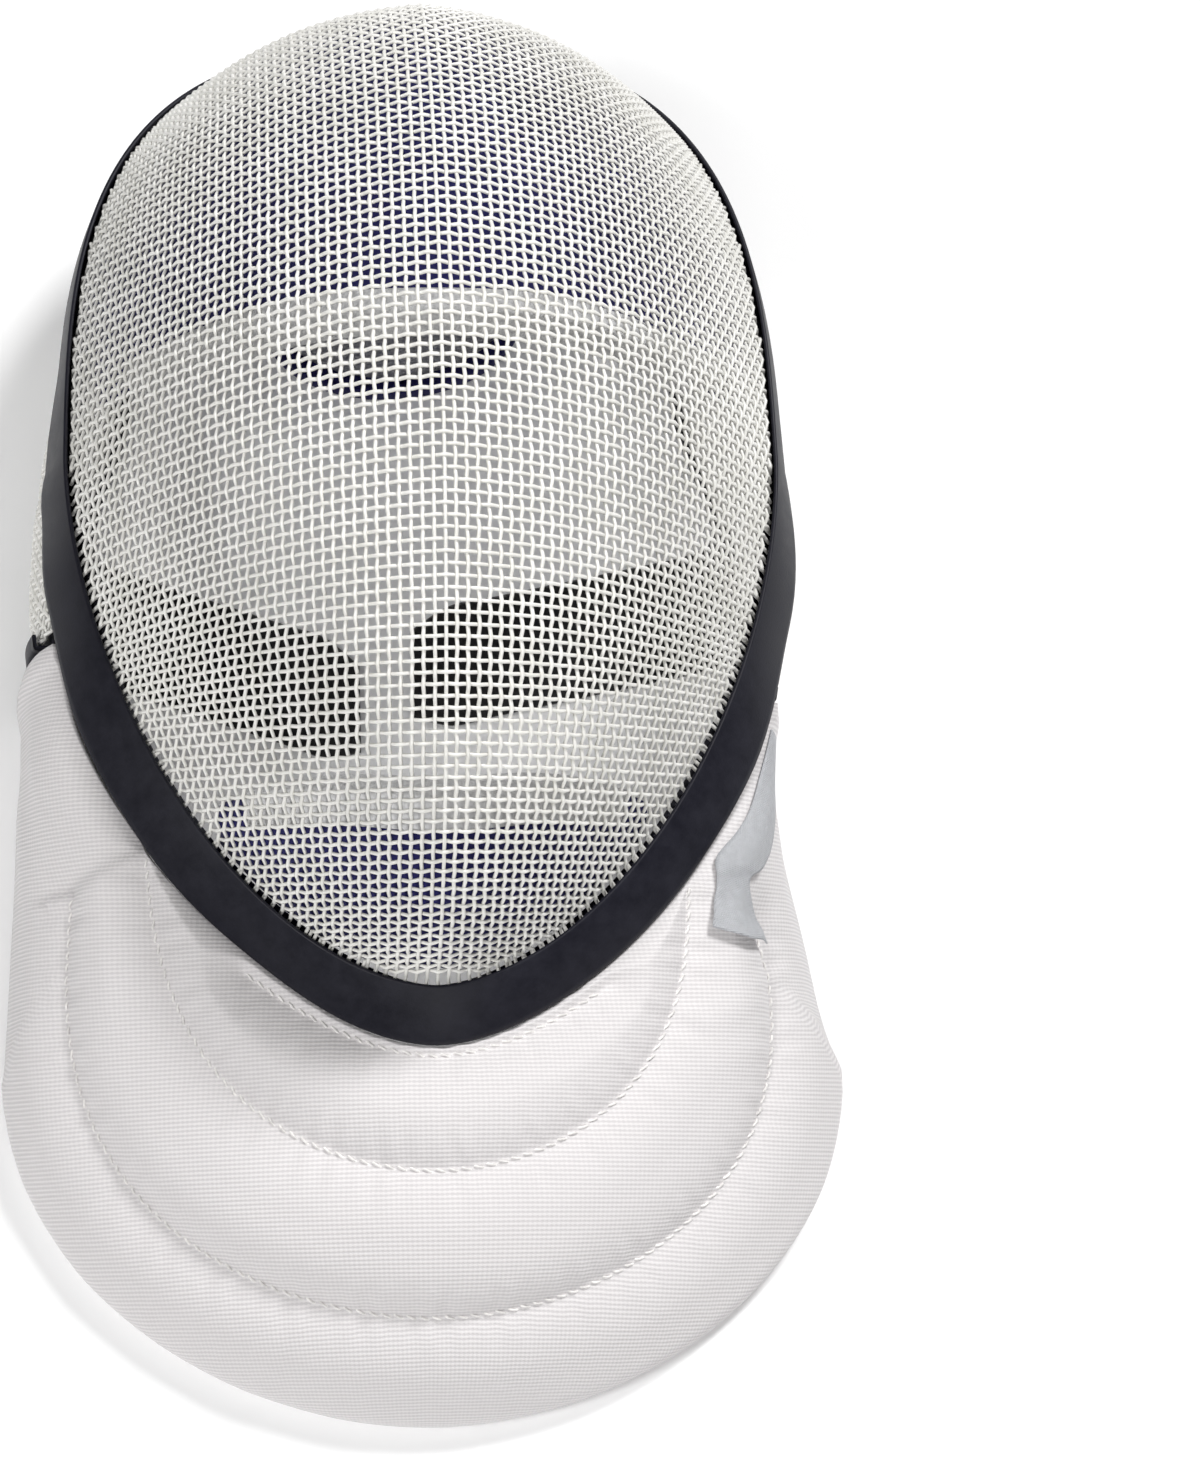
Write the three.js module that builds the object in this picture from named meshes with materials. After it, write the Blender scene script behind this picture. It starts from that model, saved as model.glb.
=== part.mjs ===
// A fencing mask lying on its back on a table, face up.
// Millimetres. +Z is up from the table, +Y points to the crown, and X = 0 is the plane of symmetry.
// Lengths along Y are counted from the deepest point of the face mesh.
import * as THREE from "three";

// Face mesh: a creased bowl with an egg-shaped rim.
const RIM_HEIGHT = 72;
const BOWL_DEPTH = 113.5;
const CHIN_REACH = 132;
const CROWN_REACH = 155;
const HALF_WIDTH = 98;
const WIDEST_Y = 25;
const CHIN_ROUNDNESS = 1.75;
const CROWN_ROUNDNESS = 2.9;
const CREASE_SHARE = 0.24;
const WALL_POWER = 2.4;
const MESH_THICKNESS = 2.2;
const FLANGE_LENGTH = 10;
const BOWL_COLUMNS = 56;
const BOWL_RINGS = 10;
const FLANGE_RINGS = 2;

// Channel trim round the face mesh. Its face falls away from the rim at these slopes, in degrees,
// from the chin (-90 degrees round the rim) to the crown (90), on each side.
const FIT_GAP = 0.3;
const TRIM_GAP = 0.5;
const TRIM_WIDTH = 17.6;
const TRIM_LEAF = 2.3;
const TRIM_INNER_LIP = 7.5;
const TRIM_CHAMFER = 2;
const TRIM_RIM_GAP = 0.6;
const TRIM_SLOPES = {
  left: [
    { around: -90, slope: 43 },
    { around: -64, slope: 55 },
    { around: -45, slope: 42 },
    { around: -33, slope: 40 },
    { around: -17, slope: 55 },
    { around: -6, slope: 66 },
    { around: 9, slope: 82 },
    { around: 90, slope: 76 },
  ],
  right: [
    { around: -90, slope: 43 },
    { around: -68, slope: 50 },
    { around: -48, slope: 46 },
    { around: -37, slope: 43 },
    { around: -20, slope: 58 },
    { around: 4, slope: 80 },
    { around: 90, slope: 76 },
  ],
};

// Side plates of woven wire, from the trim down to the table, and their edging.
const PLATE_END_Y = 105;
const PLATE_CORNER = 14;
const PLATES = {
  left: { side: -1, startY: -20, bulge: 7, inset: 0 },
  right: { side: 1, startY: -36, bulge: -2, inset: 5 },
};
const PLATE_EDGE_HEIGHT = 2.4;
const PLATE_TOP_GAP = 1;
const PLATE_ROWS = 5;
const PLATE_MIDDLE_COLUMNS = 6;
const CORNER_STEPS = 4;
const PLATE_FEET = [
  { y: -38, half: 101 },
  { y: 0, half: 101 },
  { y: 30, half: 97 },
  { y: 75, half: 87 },
  { y: 105, half: 80 },
];
const EDGING = { lip: 3, gap: 0.7, leaf: 1.2, end: 1.8, chamfer: 0.8 };

// Inner pads: each lies against the inside of the bowl, from a free front edge to the rim.
// The chin pad's skirt hangs past the rim.
const PAD_THICKNESS = 8;
const PAD_GAP = 0.6;
const PAD_COLUMNS = 18;
const PAD_ROWS = 5;
const PAD_RIM_SHARE = 0.993;
const PAD_SOFTNESS = 0.3;
const PAD_SKIRT_START = 0.6;
const CROWN_PAD = { frontY: 19, sideRise: 21, firstAngle: 12, turn: 156, standOff: 6, skirt: 0 };
const CHIN_PAD = { frontY: -108, sideRise: 24, firstAngle: -48, turn: -84, standOff: 2, skirt: 16 };
const BINDING = { lip: 4, gap: 1, leaf: 1.2, end: 1.8, chamfer: 1 };

// Back tongue: a sprung panel that curves from the crown trim down to the table.
const TONGUE_ROOT_HALF = 31;
const TONGUE_HALF = 39;
const TONGUE_THICKNESS = 4;
const TONGUE_TIP = 26;
const TONGUE_ROWS = 12;
const TONGUE_COLUMNS = 4;
const TONGUE_TIP_LEAST = 0.16;
const TONGUE_DRIFT = -8;
const TONGUE_PATH = [
  { y: 159, z: 53.6 },
  { y: 155.5, z: 36 },
  { y: 139, z: 18 },
  { y: 113, z: 8 },
  { y: 80, z: 4 },
];
const TONGUE_RIM = { lip: 2.6, gap: 0.5, leaf: 1.4, end: 2.2, chamfer: 1.2 };

// Straps: each lies flat on the table and turns up against the inside of its side plate.
const STRAP_WIDTH = 38;
const STRAP_THICKNESS = 2.2;
const STRAP_RISER_GAP = 4.3;
const STRAP_TOP_GAP = 2.8;
const STRAP_TURN = 7;
const STRAPS = {
  left: { inner: 17, innerY: -23, outerY: 4 },
  right: { inner: -2, innerY: -12, outerY: 7 },
};
const STRAP_END = [
  { back: 0, share: 0.6 },
  { back: 1.5, share: 0.82 },
  { back: 5, share: 0.97 },
  { back: 10, share: 1 },
];
const STRAP_RISE = [
  { height: 0.93, gap: STRAP_RISER_GAP },
  { height: 0.84, gap: STRAP_RISER_GAP },
  { height: 0.72, gap: STRAP_TOP_GAP },
  { height: 0.6, gap: STRAP_TOP_GAP },
];

// Bib: a quilted throat guard from the lower half of the trim down to the table.
const BIB_WINGS = {
  left: { endY: -24, half: 109, ease: 0.5, bulge: 6 },
  right: { endY: -42, half: 95.5, ease: 0.62, bulge: 1 },
};
const BIB_SIDE_Y = -142;
const BIB_SIDE_HALF = 113.5;
const BIB_END_Y = -233;
const BIB_ROUNDNESS = 1.9;
const BIB_SIDE_SHARE = 0.65;
const BIB_FOOT_HEIGHT = 0.6;
const BIB_CENTRE_BULGE = 15;
const BIB_COLUMNS = 36;
const BIB_ROWS = 12;
const BIB_HEM = 2.2;
const BIB_PAD = 6.4;
const BIB_TOP_GAP = 0.9;
const BIB_FALL = 108;
const QUILT_SOFTNESS = 9;
const QUILT_LINES = [
  { centre: 0.27, fall: 0.27, reach: 0.64, power: 4 },
  { centre: 0.642, fall: 0.315, reach: 0.7, power: 5.2 },
];

// Blank label: a short tape on the bib by the right jaw.
const LABEL = { around: 0.8, drift: -0.14, start: 0.04, end: 0.4, half: 0.036, flare: 0.02, lift: 0.5 };
const LABEL_THICKNESS = 0.7;
const LABEL_ROWS = 8;
const LABEL_COLUMNS = 3;

// Middle of the whole mask, which is put over the origin.
const LENGTH_MIDDLE_Y = -35.56;
const WIDTH_MIDDLE_X = -0.18;

const COLOURS = {
  mesh: { color: 0xe2ded2, roughness: 0.45, metalness: 0.1 },
  trim: { color: 0x1b1e2a, roughness: 0.55, metalness: 0 },
  white: { color: 0xe9e5e6, roughness: 0.9, metalness: 0 },
  navy: { color: 0x23264f, roughness: 0.95, metalness: 0 },
  grey: { color: 0xb4b4b8, roughness: 0.9, metalness: 0 },
  black: { color: 0x151517, roughness: 0.85, metalness: 0 },
};

const { lerp, degToRad, radToDeg, smoothstep } = THREE.MathUtils;

function signedPower(value, power) {
  return Math.sign(value) * Math.abs(value) ** power;
}

// Value of a table's column at a place along its key column, eased between its rows.
function fromTable(table, key, column, at) {
  const next = table.findIndex((row) => row[key] >= at);
  if (next === 0) return table[0][column];
  if (next < 0) return table.at(-1)[column];
  const low = table[next - 1];
  const high = table[next];
  return lerp(low[column], high[column], smoothstep(at, low[key], high[key]));
}

// Closed geometry from points and triangles, turned so that its faces point out.
function closedGeometry(points, triangles) {
  let volume = 0;
  for (const [a, b, c] of triangles) {
    volume += points[a].dot(points[b].clone().cross(points[c]));
  }
  const faces = volume > 0 ? triangles : triangles.map(([a, b, c]) => [a, c, b]);
  const geometry = new THREE.BufferGeometry();
  geometry.setFromPoints(points);
  geometry.setIndex(faces.flat());
  geometry.computeVertexNormals();
  return geometry;
}

// Open surface of quads split into triangles; pointAt takes shares 0 to 1 across and along.
function gridSurface(columns, rows, pointAt) {
  const points = [];
  const faces = [];
  for (let row = 0; row <= rows; row += 1) {
    for (let column = 0; column <= columns; column += 1) {
      points.push(pointAt(column / columns, row / rows));
    }
  }
  const at = (column, row) => row * (columns + 1) + column;
  for (let row = 0; row < rows; row += 1) {
    for (let column = 0; column < columns; column += 1) {
      faces.push([at(column, row), at(column + 1, row), at(column + 1, row + 1)]);
      faces.push([at(column, row), at(column + 1, row + 1), at(column, row + 1)]);
    }
  }
  return { points, faces, at };
}

function surfaceNormals({ points, faces, known }) {
  if (known) return known;
  const normals = points.map(() => new THREE.Vector3());
  for (const [a, b, c] of faces) {
    const across = points[b].clone().sub(points[a]);
    const along = points[c].clone().sub(points[a]);
    const normal = across.cross(along);
    for (const corner of [a, b, c]) normals[corner].add(normal);
  }
  return normals.map((normal) => normal.normalize());
}

// Directed edges that only one triangle uses.
function boundaryEdges(faces) {
  const edges = new Map();
  for (const [a, b, c] of faces) {
    for (const [from, to] of [[a, b], [b, c], [c, a]]) {
      if (!edges.delete(`${to},${from}`)) edges.set(`${from},${to}`, [from, to]);
    }
  }
  return [...edges.values()];
}

// Same surface moved along its normals; a positive distance is outward.
function moved(surface, distanceAt) {
  const normals = surfaceNormals(surface);
  const points = surface.points.map((p, i) => p.clone().addScaledVector(normals[i], distanceAt(i)));
  return { ...surface, points };
}

// Wall between two copies of a surface, one moved out and one moved in, that never dips below the table.
function wall(surface, outAt, inAt) {
  const outer = moved(surface, outAt).points;
  const inner = moved(surface, (i) => -inAt(i)).points;
  const points = [...outer, ...inner];
  for (const point of points) point.z = Math.max(point.z, 0);
  const count = outer.length;
  const triangles = [...surface.faces];
  for (const [a, b, c] of surface.faces) triangles.push([a + count, c + count, b + count]);
  for (const [a, b] of boundaryEdges(surface.faces)) {
    triangles.push([b, a, a + count], [b, a + count, b + count]);
  }
  return closedGeometry(points, triangles);
}

// Closed section carried along stations that each have an origin and the section's two directions.
function sweep(stations, section, isLoop) {
  const points = [];
  for (const { origin, along, up } of stations) {
    for (const [a, b] of section) {
      const point = origin.clone().addScaledVector(along, a).addScaledVector(up, b);
      point.z = Math.max(point.z, 0);
      points.push(point);
    }
  }
  const size = section.length;
  const triangles = [];
  const spans = isLoop ? stations.length : stations.length - 1;
  for (let span = 0; span < spans; span += 1) {
    const here = span * size;
    const next = ((span + 1) % stations.length) * size;
    for (let k = 0; k < size; k += 1) {
      const after = (k + 1) % size;
      triangles.push([here + k, here + after, next + after], [here + k, next + after, next + k]);
    }
  }
  if (!isLoop) {
    const outline = section.map(([a, b]) => new THREE.Vector2(a, b));
    const last = (stations.length - 1) * size;
    for (const [a, b, c] of THREE.ShapeUtils.triangulateShape(outline, [])) {
      triangles.push([c, b, a], [last + a, last + b, last + c]);
    }
  }
  return closedGeometry(points, triangles);
}

// U-shaped section that wraps an edge: its mouth points to -a and its closed end to +a.
function channelSection({ outerLip, innerLip, half, gap, leaf, end, chamfer }) {
  const inside = half + gap;
  const outside = inside + leaf;
  return [
    [-innerLip, -outside],
    [end - chamfer, -outside],
    [end, chamfer - outside],
    [end, outside - chamfer],
    [end - chamfer, outside],
    [-outerLip, outside],
    [-outerLip, inside],
    [FIT_GAP, inside],
    [FIT_GAP, -inside],
    [-innerLip, -inside],
  ];
}

function evenChannel({ lip, ...sizes }, thickness) {
  return channelSection({ outerLip: lip, innerLip: lip, half: thickness / 2, ...sizes });
}

// Reach and roundness of the rim's egg shape on the side of a place along Y.
function rimHalf(y) {
  const isCrown = y > WIDEST_Y;
  return {
    reach: isCrown ? CROWN_REACH - WIDEST_Y : CHIN_REACH + WIDEST_Y,
    roundness: isCrown ? CROWN_ROUNDNESS : CHIN_ROUNDNESS,
  };
}

function rimPoint(angle) {
  const { reach, roundness } = rimHalf(WIDEST_Y + Math.sin(angle));
  const x = HALF_WIDTH * signedPower(Math.cos(angle), 2 / roundness);
  const y = WIDEST_Y + reach * signedPower(Math.sin(angle), 2 / roundness);
  return new THREE.Vector2(x, y);
}

// Angle round the right half of the rim, in radians, at a place along Y.
function rimAngle(y) {
  const { reach, roundness } = rimHalf(y);
  return Math.asin(signedPower((y - WIDEST_Y) / reach, roundness / 2));
}

function rimOutward(point) {
  const { reach, roundness } = rimHalf(point.y);
  const x = signedPower(point.x / HALF_WIDTH, roundness - 1) / HALF_WIDTH;
  const y = signedPower((point.y - WIDEST_Y) / reach, roundness - 1) / reach;
  return new THREE.Vector2(x, y).normalize();
}

function bowlHalfWidth(y) {
  const { reach, roundness } = rimHalf(y);
  const left = Math.max(0, 1 - Math.abs((y - WIDEST_Y) / reach) ** roundness);
  return HALF_WIDTH * left ** (1 / roundness);
}

// Height of the bowl's outside above the table: an ellipse along the crease, falling to the rim on each side.
// A crease softness over 0 rounds the crease off.
function bowlHeight(x, y, softness = 0) {
  const reach = y > 0 ? CROWN_REACH : CHIN_REACH;
  const crest = BOWL_DEPTH * Math.sqrt(Math.max(0, 1 - (y / reach) ** 2));
  const half = bowlHalfWidth(y);
  const share = half > 0 ? Math.min(1, Math.abs(x) / half) : 1;
  const fall = CREASE_SHARE * Math.hypot(share, softness) + (1 - CREASE_SHARE) * share ** WALL_POWER;
  return RIM_HEIGHT + crest * (1 - fall);
}

function bowlPoint(x, y) {
  return new THREE.Vector3(x, y, bowlHeight(x, y));
}

// Place on the rim with the direction the trim's face runs (along) and the way it looks (up).
function rimStation(angle) {
  const edge = rimPoint(angle);
  const out = rimOutward(edge);
  const around = radToDeg(Math.asin(THREE.MathUtils.clamp(Math.sin(angle), -1, 1)));
  const slopes = Math.cos(angle) < 0 ? TRIM_SLOPES.left : TRIM_SLOPES.right;
  const slope = degToRad(fromTable(slopes, "around", "slope", around));
  const cos = Math.cos(slope);
  const sin = Math.sin(slope);
  return {
    origin: new THREE.Vector3(edge.x, edge.y, RIM_HEIGHT),
    along: new THREE.Vector3(out.x * cos, out.y * cos, -sin),
    up: new THREE.Vector3(out.x * sin, out.y * sin, cos),
  };
}

function fromStation({ origin, along, up }, a, b) {
  return origin.clone().addScaledVector(along, a).addScaledVector(up, b);
}

// Rings of the bowl from its middle to the rim, then the flange that the trim grips.
function bowlSurface() {
  const points = [bowlPoint(0, WIDEST_Y)];
  const faces = [];
  const angleAt = (column) => (2 * Math.PI * column) / BOWL_COLUMNS;
  for (let ring = 1; ring <= BOWL_RINGS + FLANGE_RINGS; ring += 1) {
    const share = Math.sin((Math.PI / 2) * Math.min(1, ring / BOWL_RINGS));
    for (let column = 0; column < BOWL_COLUMNS; column += 1) {
      const rim = rimPoint(angleAt(column));
      const reach = (FLANGE_LENGTH * (ring - BOWL_RINGS)) / FLANGE_RINGS;
      if (reach >= 0) points.push(fromStation(rimStation(angleAt(column)), reach, 0));
      else points.push(bowlPoint(rim.x * share, lerp(WIDEST_Y, rim.y, share)));
    }
  }
  const at = (column, ring) => 1 + (ring - 1) * BOWL_COLUMNS + (column % BOWL_COLUMNS);
  for (let column = 0; column < BOWL_COLUMNS; column += 1) {
    faces.push([0, at(column, 1), at(column + 1, 1)]);
    for (let ring = 1; ring < BOWL_RINGS + FLANGE_RINGS; ring += 1) {
      const corner = at(column + 1, ring + 1);
      faces.push([at(column, ring), at(column, ring + 1), corner]);
      faces.push([at(column, ring), corner, at(column + 1, ring)]);
    }
  }
  return { points, faces };
}

function frontMesh() {
  return wall(bowlSurface(), () => 0, () => MESH_THICKNESS);
}

function frontTrim() {
  const section = channelSection({
    outerLip: FLANGE_LENGTH - TRIM_RIM_GAP,
    innerLip: TRIM_INNER_LIP,
    half: MESH_THICKNESS / 2,
    gap: TRIM_GAP,
    leaf: TRIM_LEAF,
    end: TRIM_WIDTH - FLANGE_LENGTH,
    chamfer: TRIM_CHAMFER,
  });
  const stations = [];
  for (let step = 0; step < BOWL_COLUMNS; step += 1) {
    const station = rimStation((2 * Math.PI * step) / BOWL_COLUMNS);
    stations.push({ ...station, origin: fromStation(station, FLANGE_LENGTH, -MESH_THICKNESS / 2) });
  }
  return sweep(stations, section, true);
}

// Middle of a side plate; share runs from the trim (0) to the table (1).
function platePoint({ side, bulge, inset }, y, share) {
  const angle = side < 0 ? Math.PI - rimAngle(y) : rimAngle(y);
  const top = fromStation(rimStation(angle), TRIM_WIDTH + PLATE_TOP_GAP, 0);
  const half = fromTable(PLATE_FEET, "y", "half", y) - inset;
  const x = lerp(Math.abs(top.x), half, share) + bulge * Math.sin(Math.PI * share);
  return new THREE.Vector3(side * x, lerp(top.y, y, share), lerp(top.z, PLATE_EDGE_HEIGHT, share));
}

// Places along a plate with how far its lower edge is lifted there by its round corners.
function plateColumns({ startY }) {
  const corner = [];
  for (let step = 0; step < CORNER_STEPS; step += 1) {
    const turn = ((Math.PI / 2) * step) / CORNER_STEPS;
    corner.push({ inset: PLATE_CORNER * (1 - Math.cos(turn)), lift: PLATE_CORNER * (1 - Math.sin(turn)) });
  }
  const columns = corner.map(({ inset, lift }) => ({ y: startY + inset, lift }));
  const first = startY + PLATE_CORNER;
  const last = PLATE_END_Y - PLATE_CORNER;
  for (let step = 0; step <= PLATE_MIDDLE_COLUMNS; step += 1) {
    columns.push({ y: lerp(first, last, step / PLATE_MIDDLE_COLUMNS), lift: 0 });
  }
  for (const { inset, lift } of corner.reverse()) columns.push({ y: PLATE_END_Y - inset, lift });
  return columns;
}

// Way out of a side plate at a place on it.
function plateNormal(plate, y, share) {
  const step = 0.01;
  const along = platePoint(plate, y + step, share).sub(platePoint(plate, y - step, share));
  const down = platePoint(plate, y, share + step).sub(platePoint(plate, y, share - step));
  const normal = along.cross(down).normalize();
  return normal.x * plate.side < 0 ? normal.negate() : normal;
}

function plateSurface(plate) {
  const columns = plateColumns(plate);
  const last = columns.length - 1;
  const known = [];
  const surface = gridSurface(last, PLATE_ROWS, (across, down) => {
    const { y, lift } = columns[Math.round(across * last)];
    const height = platePoint(plate, y, 0).z - PLATE_EDGE_HEIGHT;
    const share = down * (1 - lift / height);
    known.push(plateNormal(plate, y, share));
    return platePoint(plate, y, share);
  });
  return { ...surface, known };
}

function sidePlate(plate) {
  return wall(plateSurface(plate), () => MESH_THICKNESS / 2, () => MESH_THICKNESS / 2);
}

// Stations along an edge of a surface, with the section's first direction pointing off the surface.
function edgeStations(surface, edge) {
  const normals = surfaceNormals(surface);
  const centre = new THREE.Vector3();
  for (const point of surface.points) centre.addScaledVector(point, 1 / surface.points.length);
  return edge.map((index, place) => {
    const before = surface.points[edge[Math.max(place - 1, 0)]];
    const after = surface.points[edge[Math.min(place + 1, edge.length - 1)]];
    const along = after.clone().sub(before).cross(normals[index]).normalize();
    const inward = centre.clone().sub(surface.points[index]);
    if (along.dot(inward) > 0) along.negate();
    return { origin: surface.points[index], along, up: normals[index] };
  });
}

function sideEdging(plate) {
  const surface = plateSurface(plate);
  const last = plateColumns(plate).length - 1;
  const edge = [];
  for (let row = 1; row < PLATE_ROWS; row += 1) edge.push(surface.at(0, row));
  for (let column = 0; column <= last; column += 1) edge.push(surface.at(column, PLATE_ROWS));
  for (let row = PLATE_ROWS - 1; row >= 1; row -= 1) edge.push(surface.at(last, row));
  return sweep(edgeStations(surface, edge), evenChannel(EDGING, MESH_THICKNESS), false);
}

// Way out of a bowl whose crease is rounded off, at a place on its plan.
function softNormal(x, y) {
  const step = 0.05;
  const height = (dx, dy) => bowlHeight(x + dx, y + dy, PAD_SOFTNESS);
  const slopeX = (height(step, 0) - height(-step, 0)) / (2 * step);
  const slopeY = (height(0, step) - height(0, -step)) / (2 * step);
  return new THREE.Vector3(-slopeX, -slopeY, 1).normalize();
}

// Middle of an inner pad, from its free front edge (along 0) to the rim (along 1).
function padSurface({ frontY, sideRise, firstAngle, turn, standOff, skirt }) {
  const depth = MESH_THICKNESS + PAD_GAP + PAD_THICKNESS / 2;
  const known = [];
  const skirtStart = skirt > 0 ? PAD_SKIRT_START : 1;
  const surface = gridSurface(PAD_COLUMNS, PAD_ROWS, (across, run) => {
    const along = Math.min(1, run / skirtStart);
    const drop = (skirt * Math.max(0, run - skirtStart)) / (1 - PAD_SKIRT_START);
    const rim = rimPoint(degToRad(firstAngle + turn * across));
    const side = 1 - 2 * across;
    const frontLineY = frontY + sideRise * side * side;
    const frontX = side * PAD_RIM_SHARE * bowlHalfWidth(frontLineY);
    const x = lerp(frontX, rim.x * PAD_RIM_SHARE, along);
    const y = lerp(frontLineY, lerp(WIDEST_Y, rim.y, PAD_RIM_SHARE), along);
    const free = 1 - smoothstep(along, 0, 1);
    const bindingRoom = (BINDING.leaf + BINDING.gap) * free;
    const lift = standOff * free * (1 - side * side);
    const normal = softNormal(x, y);
    known.push(normal);
    const onBowl = new THREE.Vector3(x, y, bowlHeight(x, y, PAD_SOFTNESS) - drop);
    return onBowl.addScaledVector(normal, -depth - bindingRoom - lift);
  });
  return { ...surface, known };
}

function innerPad(pad) {
  return wall(padSurface(pad), () => PAD_THICKNESS / 2, () => PAD_THICKNESS / 2);
}

function padBinding(pad) {
  const surface = padSurface(pad);
  const edge = [];
  for (let column = 1; column < PAD_COLUMNS; column += 1) edge.push(surface.at(column, 0));
  return sweep(edgeStations(surface, edge), evenChannel(BINDING, PAD_THICKNESS), false);
}

// Middle of the tongue: a curve from under the crown trim to the table, with a round free end.
function tongueSurface() {
  const curve = new THREE.CatmullRomCurve3(TONGUE_PATH.map(({ y, z }) => new THREE.Vector3(0, y, z)));
  const length = curve.getLength();
  return gridSurface(TONGUE_COLUMNS, TONGUE_ROWS, (across, along) => {
    const eased = Math.sin((Math.PI / 2) * along);
    const past = Math.max(0, eased * length - (length - TONGUE_TIP)) / TONGUE_TIP;
    const tip = Math.max(TONGUE_TIP_LEAST, Math.sqrt(1 - past * past));
    const half = lerp(TONGUE_ROOT_HALF, TONGUE_HALF, eased) * tip;
    const point = curve.getPointAt(eased);
    point.x = (2 * across - 1) * half + TONGUE_DRIFT * eased * eased;
    return point;
  });
}

function tonguePanel() {
  return wall(tongueSurface(), () => TONGUE_THICKNESS / 2, () => TONGUE_THICKNESS / 2);
}

function tongueRim() {
  const surface = tongueSurface();
  const edge = [];
  for (let row = 0; row <= TONGUE_ROWS; row += 1) edge.push(surface.at(0, row));
  for (let column = 1; column < TONGUE_COLUMNS; column += 1) edge.push(surface.at(column, TONGUE_ROWS));
  for (let row = TONGUE_ROWS; row >= 0; row -= 1) edge.push(surface.at(TONGUE_COLUMNS, row));
  return sweep(edgeStations(surface, edge), evenChannel(TONGUE_RIM, TONGUE_THICKNESS), false);
}

// Underside of a strap, from its free end on the table to its sewn end on the side plate.
function strap({ inner, innerY, outerY }, plate) {
  const { side } = plate;
  const stations = [];
  const plateX = Math.abs(platePoint(plate, outerY, STRAP_RISE[0].height).x);
  const turnX = plateX - STRAP_RISER_GAP - STRAP_TURN;
  const middleY = (x) => lerp(innerY, outerY, (x - inner) / (turnX - inner));
  for (const { back, share } of STRAP_END) stations.push({ x: inner + back, share });
  for (const part of [0.5, 1]) stations.push({ x: lerp(inner + STRAP_END.at(-1).back, turnX, part), share: 1 });
  const rows = stations.length + STRAP_RISE.length - 1;
  const surface = gridSurface(2, rows, (across, along) => {
    const row = Math.round(along * rows);
    const offset = STRAP_WIDTH * (across - 0.5);
    if (row < stations.length) {
      const { x, share } = stations[row];
      return new THREE.Vector3(side * x, middleY(x) + offset * share, 0);
    }
    const { height, gap } = STRAP_RISE[row - stations.length];
    const point = platePoint(plate, outerY + offset, height);
    point.x -= side * gap;
    return point;
  });
  const faces = side < 0 ? surface.faces.map(([a, b, c]) => [a, c, b]) : surface.faces;
  return wall({ ...surface, faces }, () => 0, () => STRAP_THICKNESS);
}

// Middle of the bib's cloth; t runs from the left wing (-1) over the chin (0) to the right wing (1),
// and fall from the trim (0) to the table (1).
function bibPoint(t, fall) {
  const wing = t < 0 ? BIB_WINGS.left : BIB_WINGS.right;
  const station = rimStation(-Math.PI / 2 + t * (rimAngle(wing.endY) + Math.PI / 2));
  const top = fromStation(station, TRIM_WIDTH + BIB_TOP_GAP, 0);
  const share = Math.abs(t);
  const foot = new THREE.Vector3(0, 0, BIB_FOOT_HEIGHT);
  if (share > BIB_SIDE_SHARE) {
    const up = (share - BIB_SIDE_SHARE) / (1 - BIB_SIDE_SHARE);
    foot.x = lerp(BIB_SIDE_HALF, wing.half, up ** wing.ease);
    foot.y = lerp(BIB_SIDE_Y, wing.endY, up);
  } else {
    const turn = ((Math.PI / 2) * share) / BIB_SIDE_SHARE;
    foot.x = BIB_SIDE_HALF * Math.sin(turn) ** (2 / BIB_ROUNDNESS);
    foot.y = lerp(BIB_SIDE_Y, BIB_END_Y, Math.cos(turn) ** (2 / BIB_ROUNDNESS));
  }
  foot.x *= Math.sign(t);
  const bulge = lerp(BIB_CENTRE_BULGE, wing.bulge, smoothstep(share, 0, 1)) * 4 * fall * (1 - fall);
  return top.lerp(foot, fall).addScaledVector(station.up, bulge);
}

// How far down the bib a quilt line runs at a place across it.
function quiltFall({ centre, fall, reach, power }, t) {
  const share = Math.min(1, Math.abs(t) / reach);
  return centre - fall * share ** power;
}

function bibThickness(t, fall) {
  const marks = [0, 1, ...QUILT_LINES.map((line) => quiltFall(line, t))];
  const distance = Math.min(...marks.map((mark) => Math.abs(fall - mark))) * BIB_FALL;
  return lerp(BIB_HEM, BIB_PAD, smoothstep(distance, 0, QUILT_SOFTNESS));
}

function bib() {
  const surface = gridSurface(BIB_COLUMNS, BIB_ROWS, (across, fall) => bibPoint(2 * across - 1, fall));
  const faces = surface.faces.map(([a, b, c]) => [a, c, b]);
  const half = (i) => {
    const across = (i % (BIB_COLUMNS + 1)) / BIB_COLUMNS;
    const fall = Math.floor(i / (BIB_COLUMNS + 1)) / BIB_ROWS;
    return bibThickness(2 * across - 1, fall) / 2;
  };
  return wall({ ...surface, faces }, half, half);
}

function label() {
  const surface = gridSurface(LABEL_COLUMNS, LABEL_ROWS, (across, along) => {
    const fall = lerp(LABEL.start, LABEL.end, along);
    const half = LABEL.half + LABEL.flare * along * along;
    const t = LABEL.around + LABEL.drift * along + (2 * across - 1) * half;
    return bibPoint(t, fall);
  });
  const faces = surface.faces.map(([a, b, c]) => [a, c, b]);
  const raised = moved({ ...surface, faces }, () => BIB_PAD / 2 + LABEL.lift);
  return wall(raised, () => LABEL_THICKNESS, () => 0);
}

function part(name, geometry, colour) {
  const mesh = new THREE.Mesh(geometry, new THREE.MeshStandardMaterial(COLOURS[colour]));
  mesh.name = name;
  return mesh;
}

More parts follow.
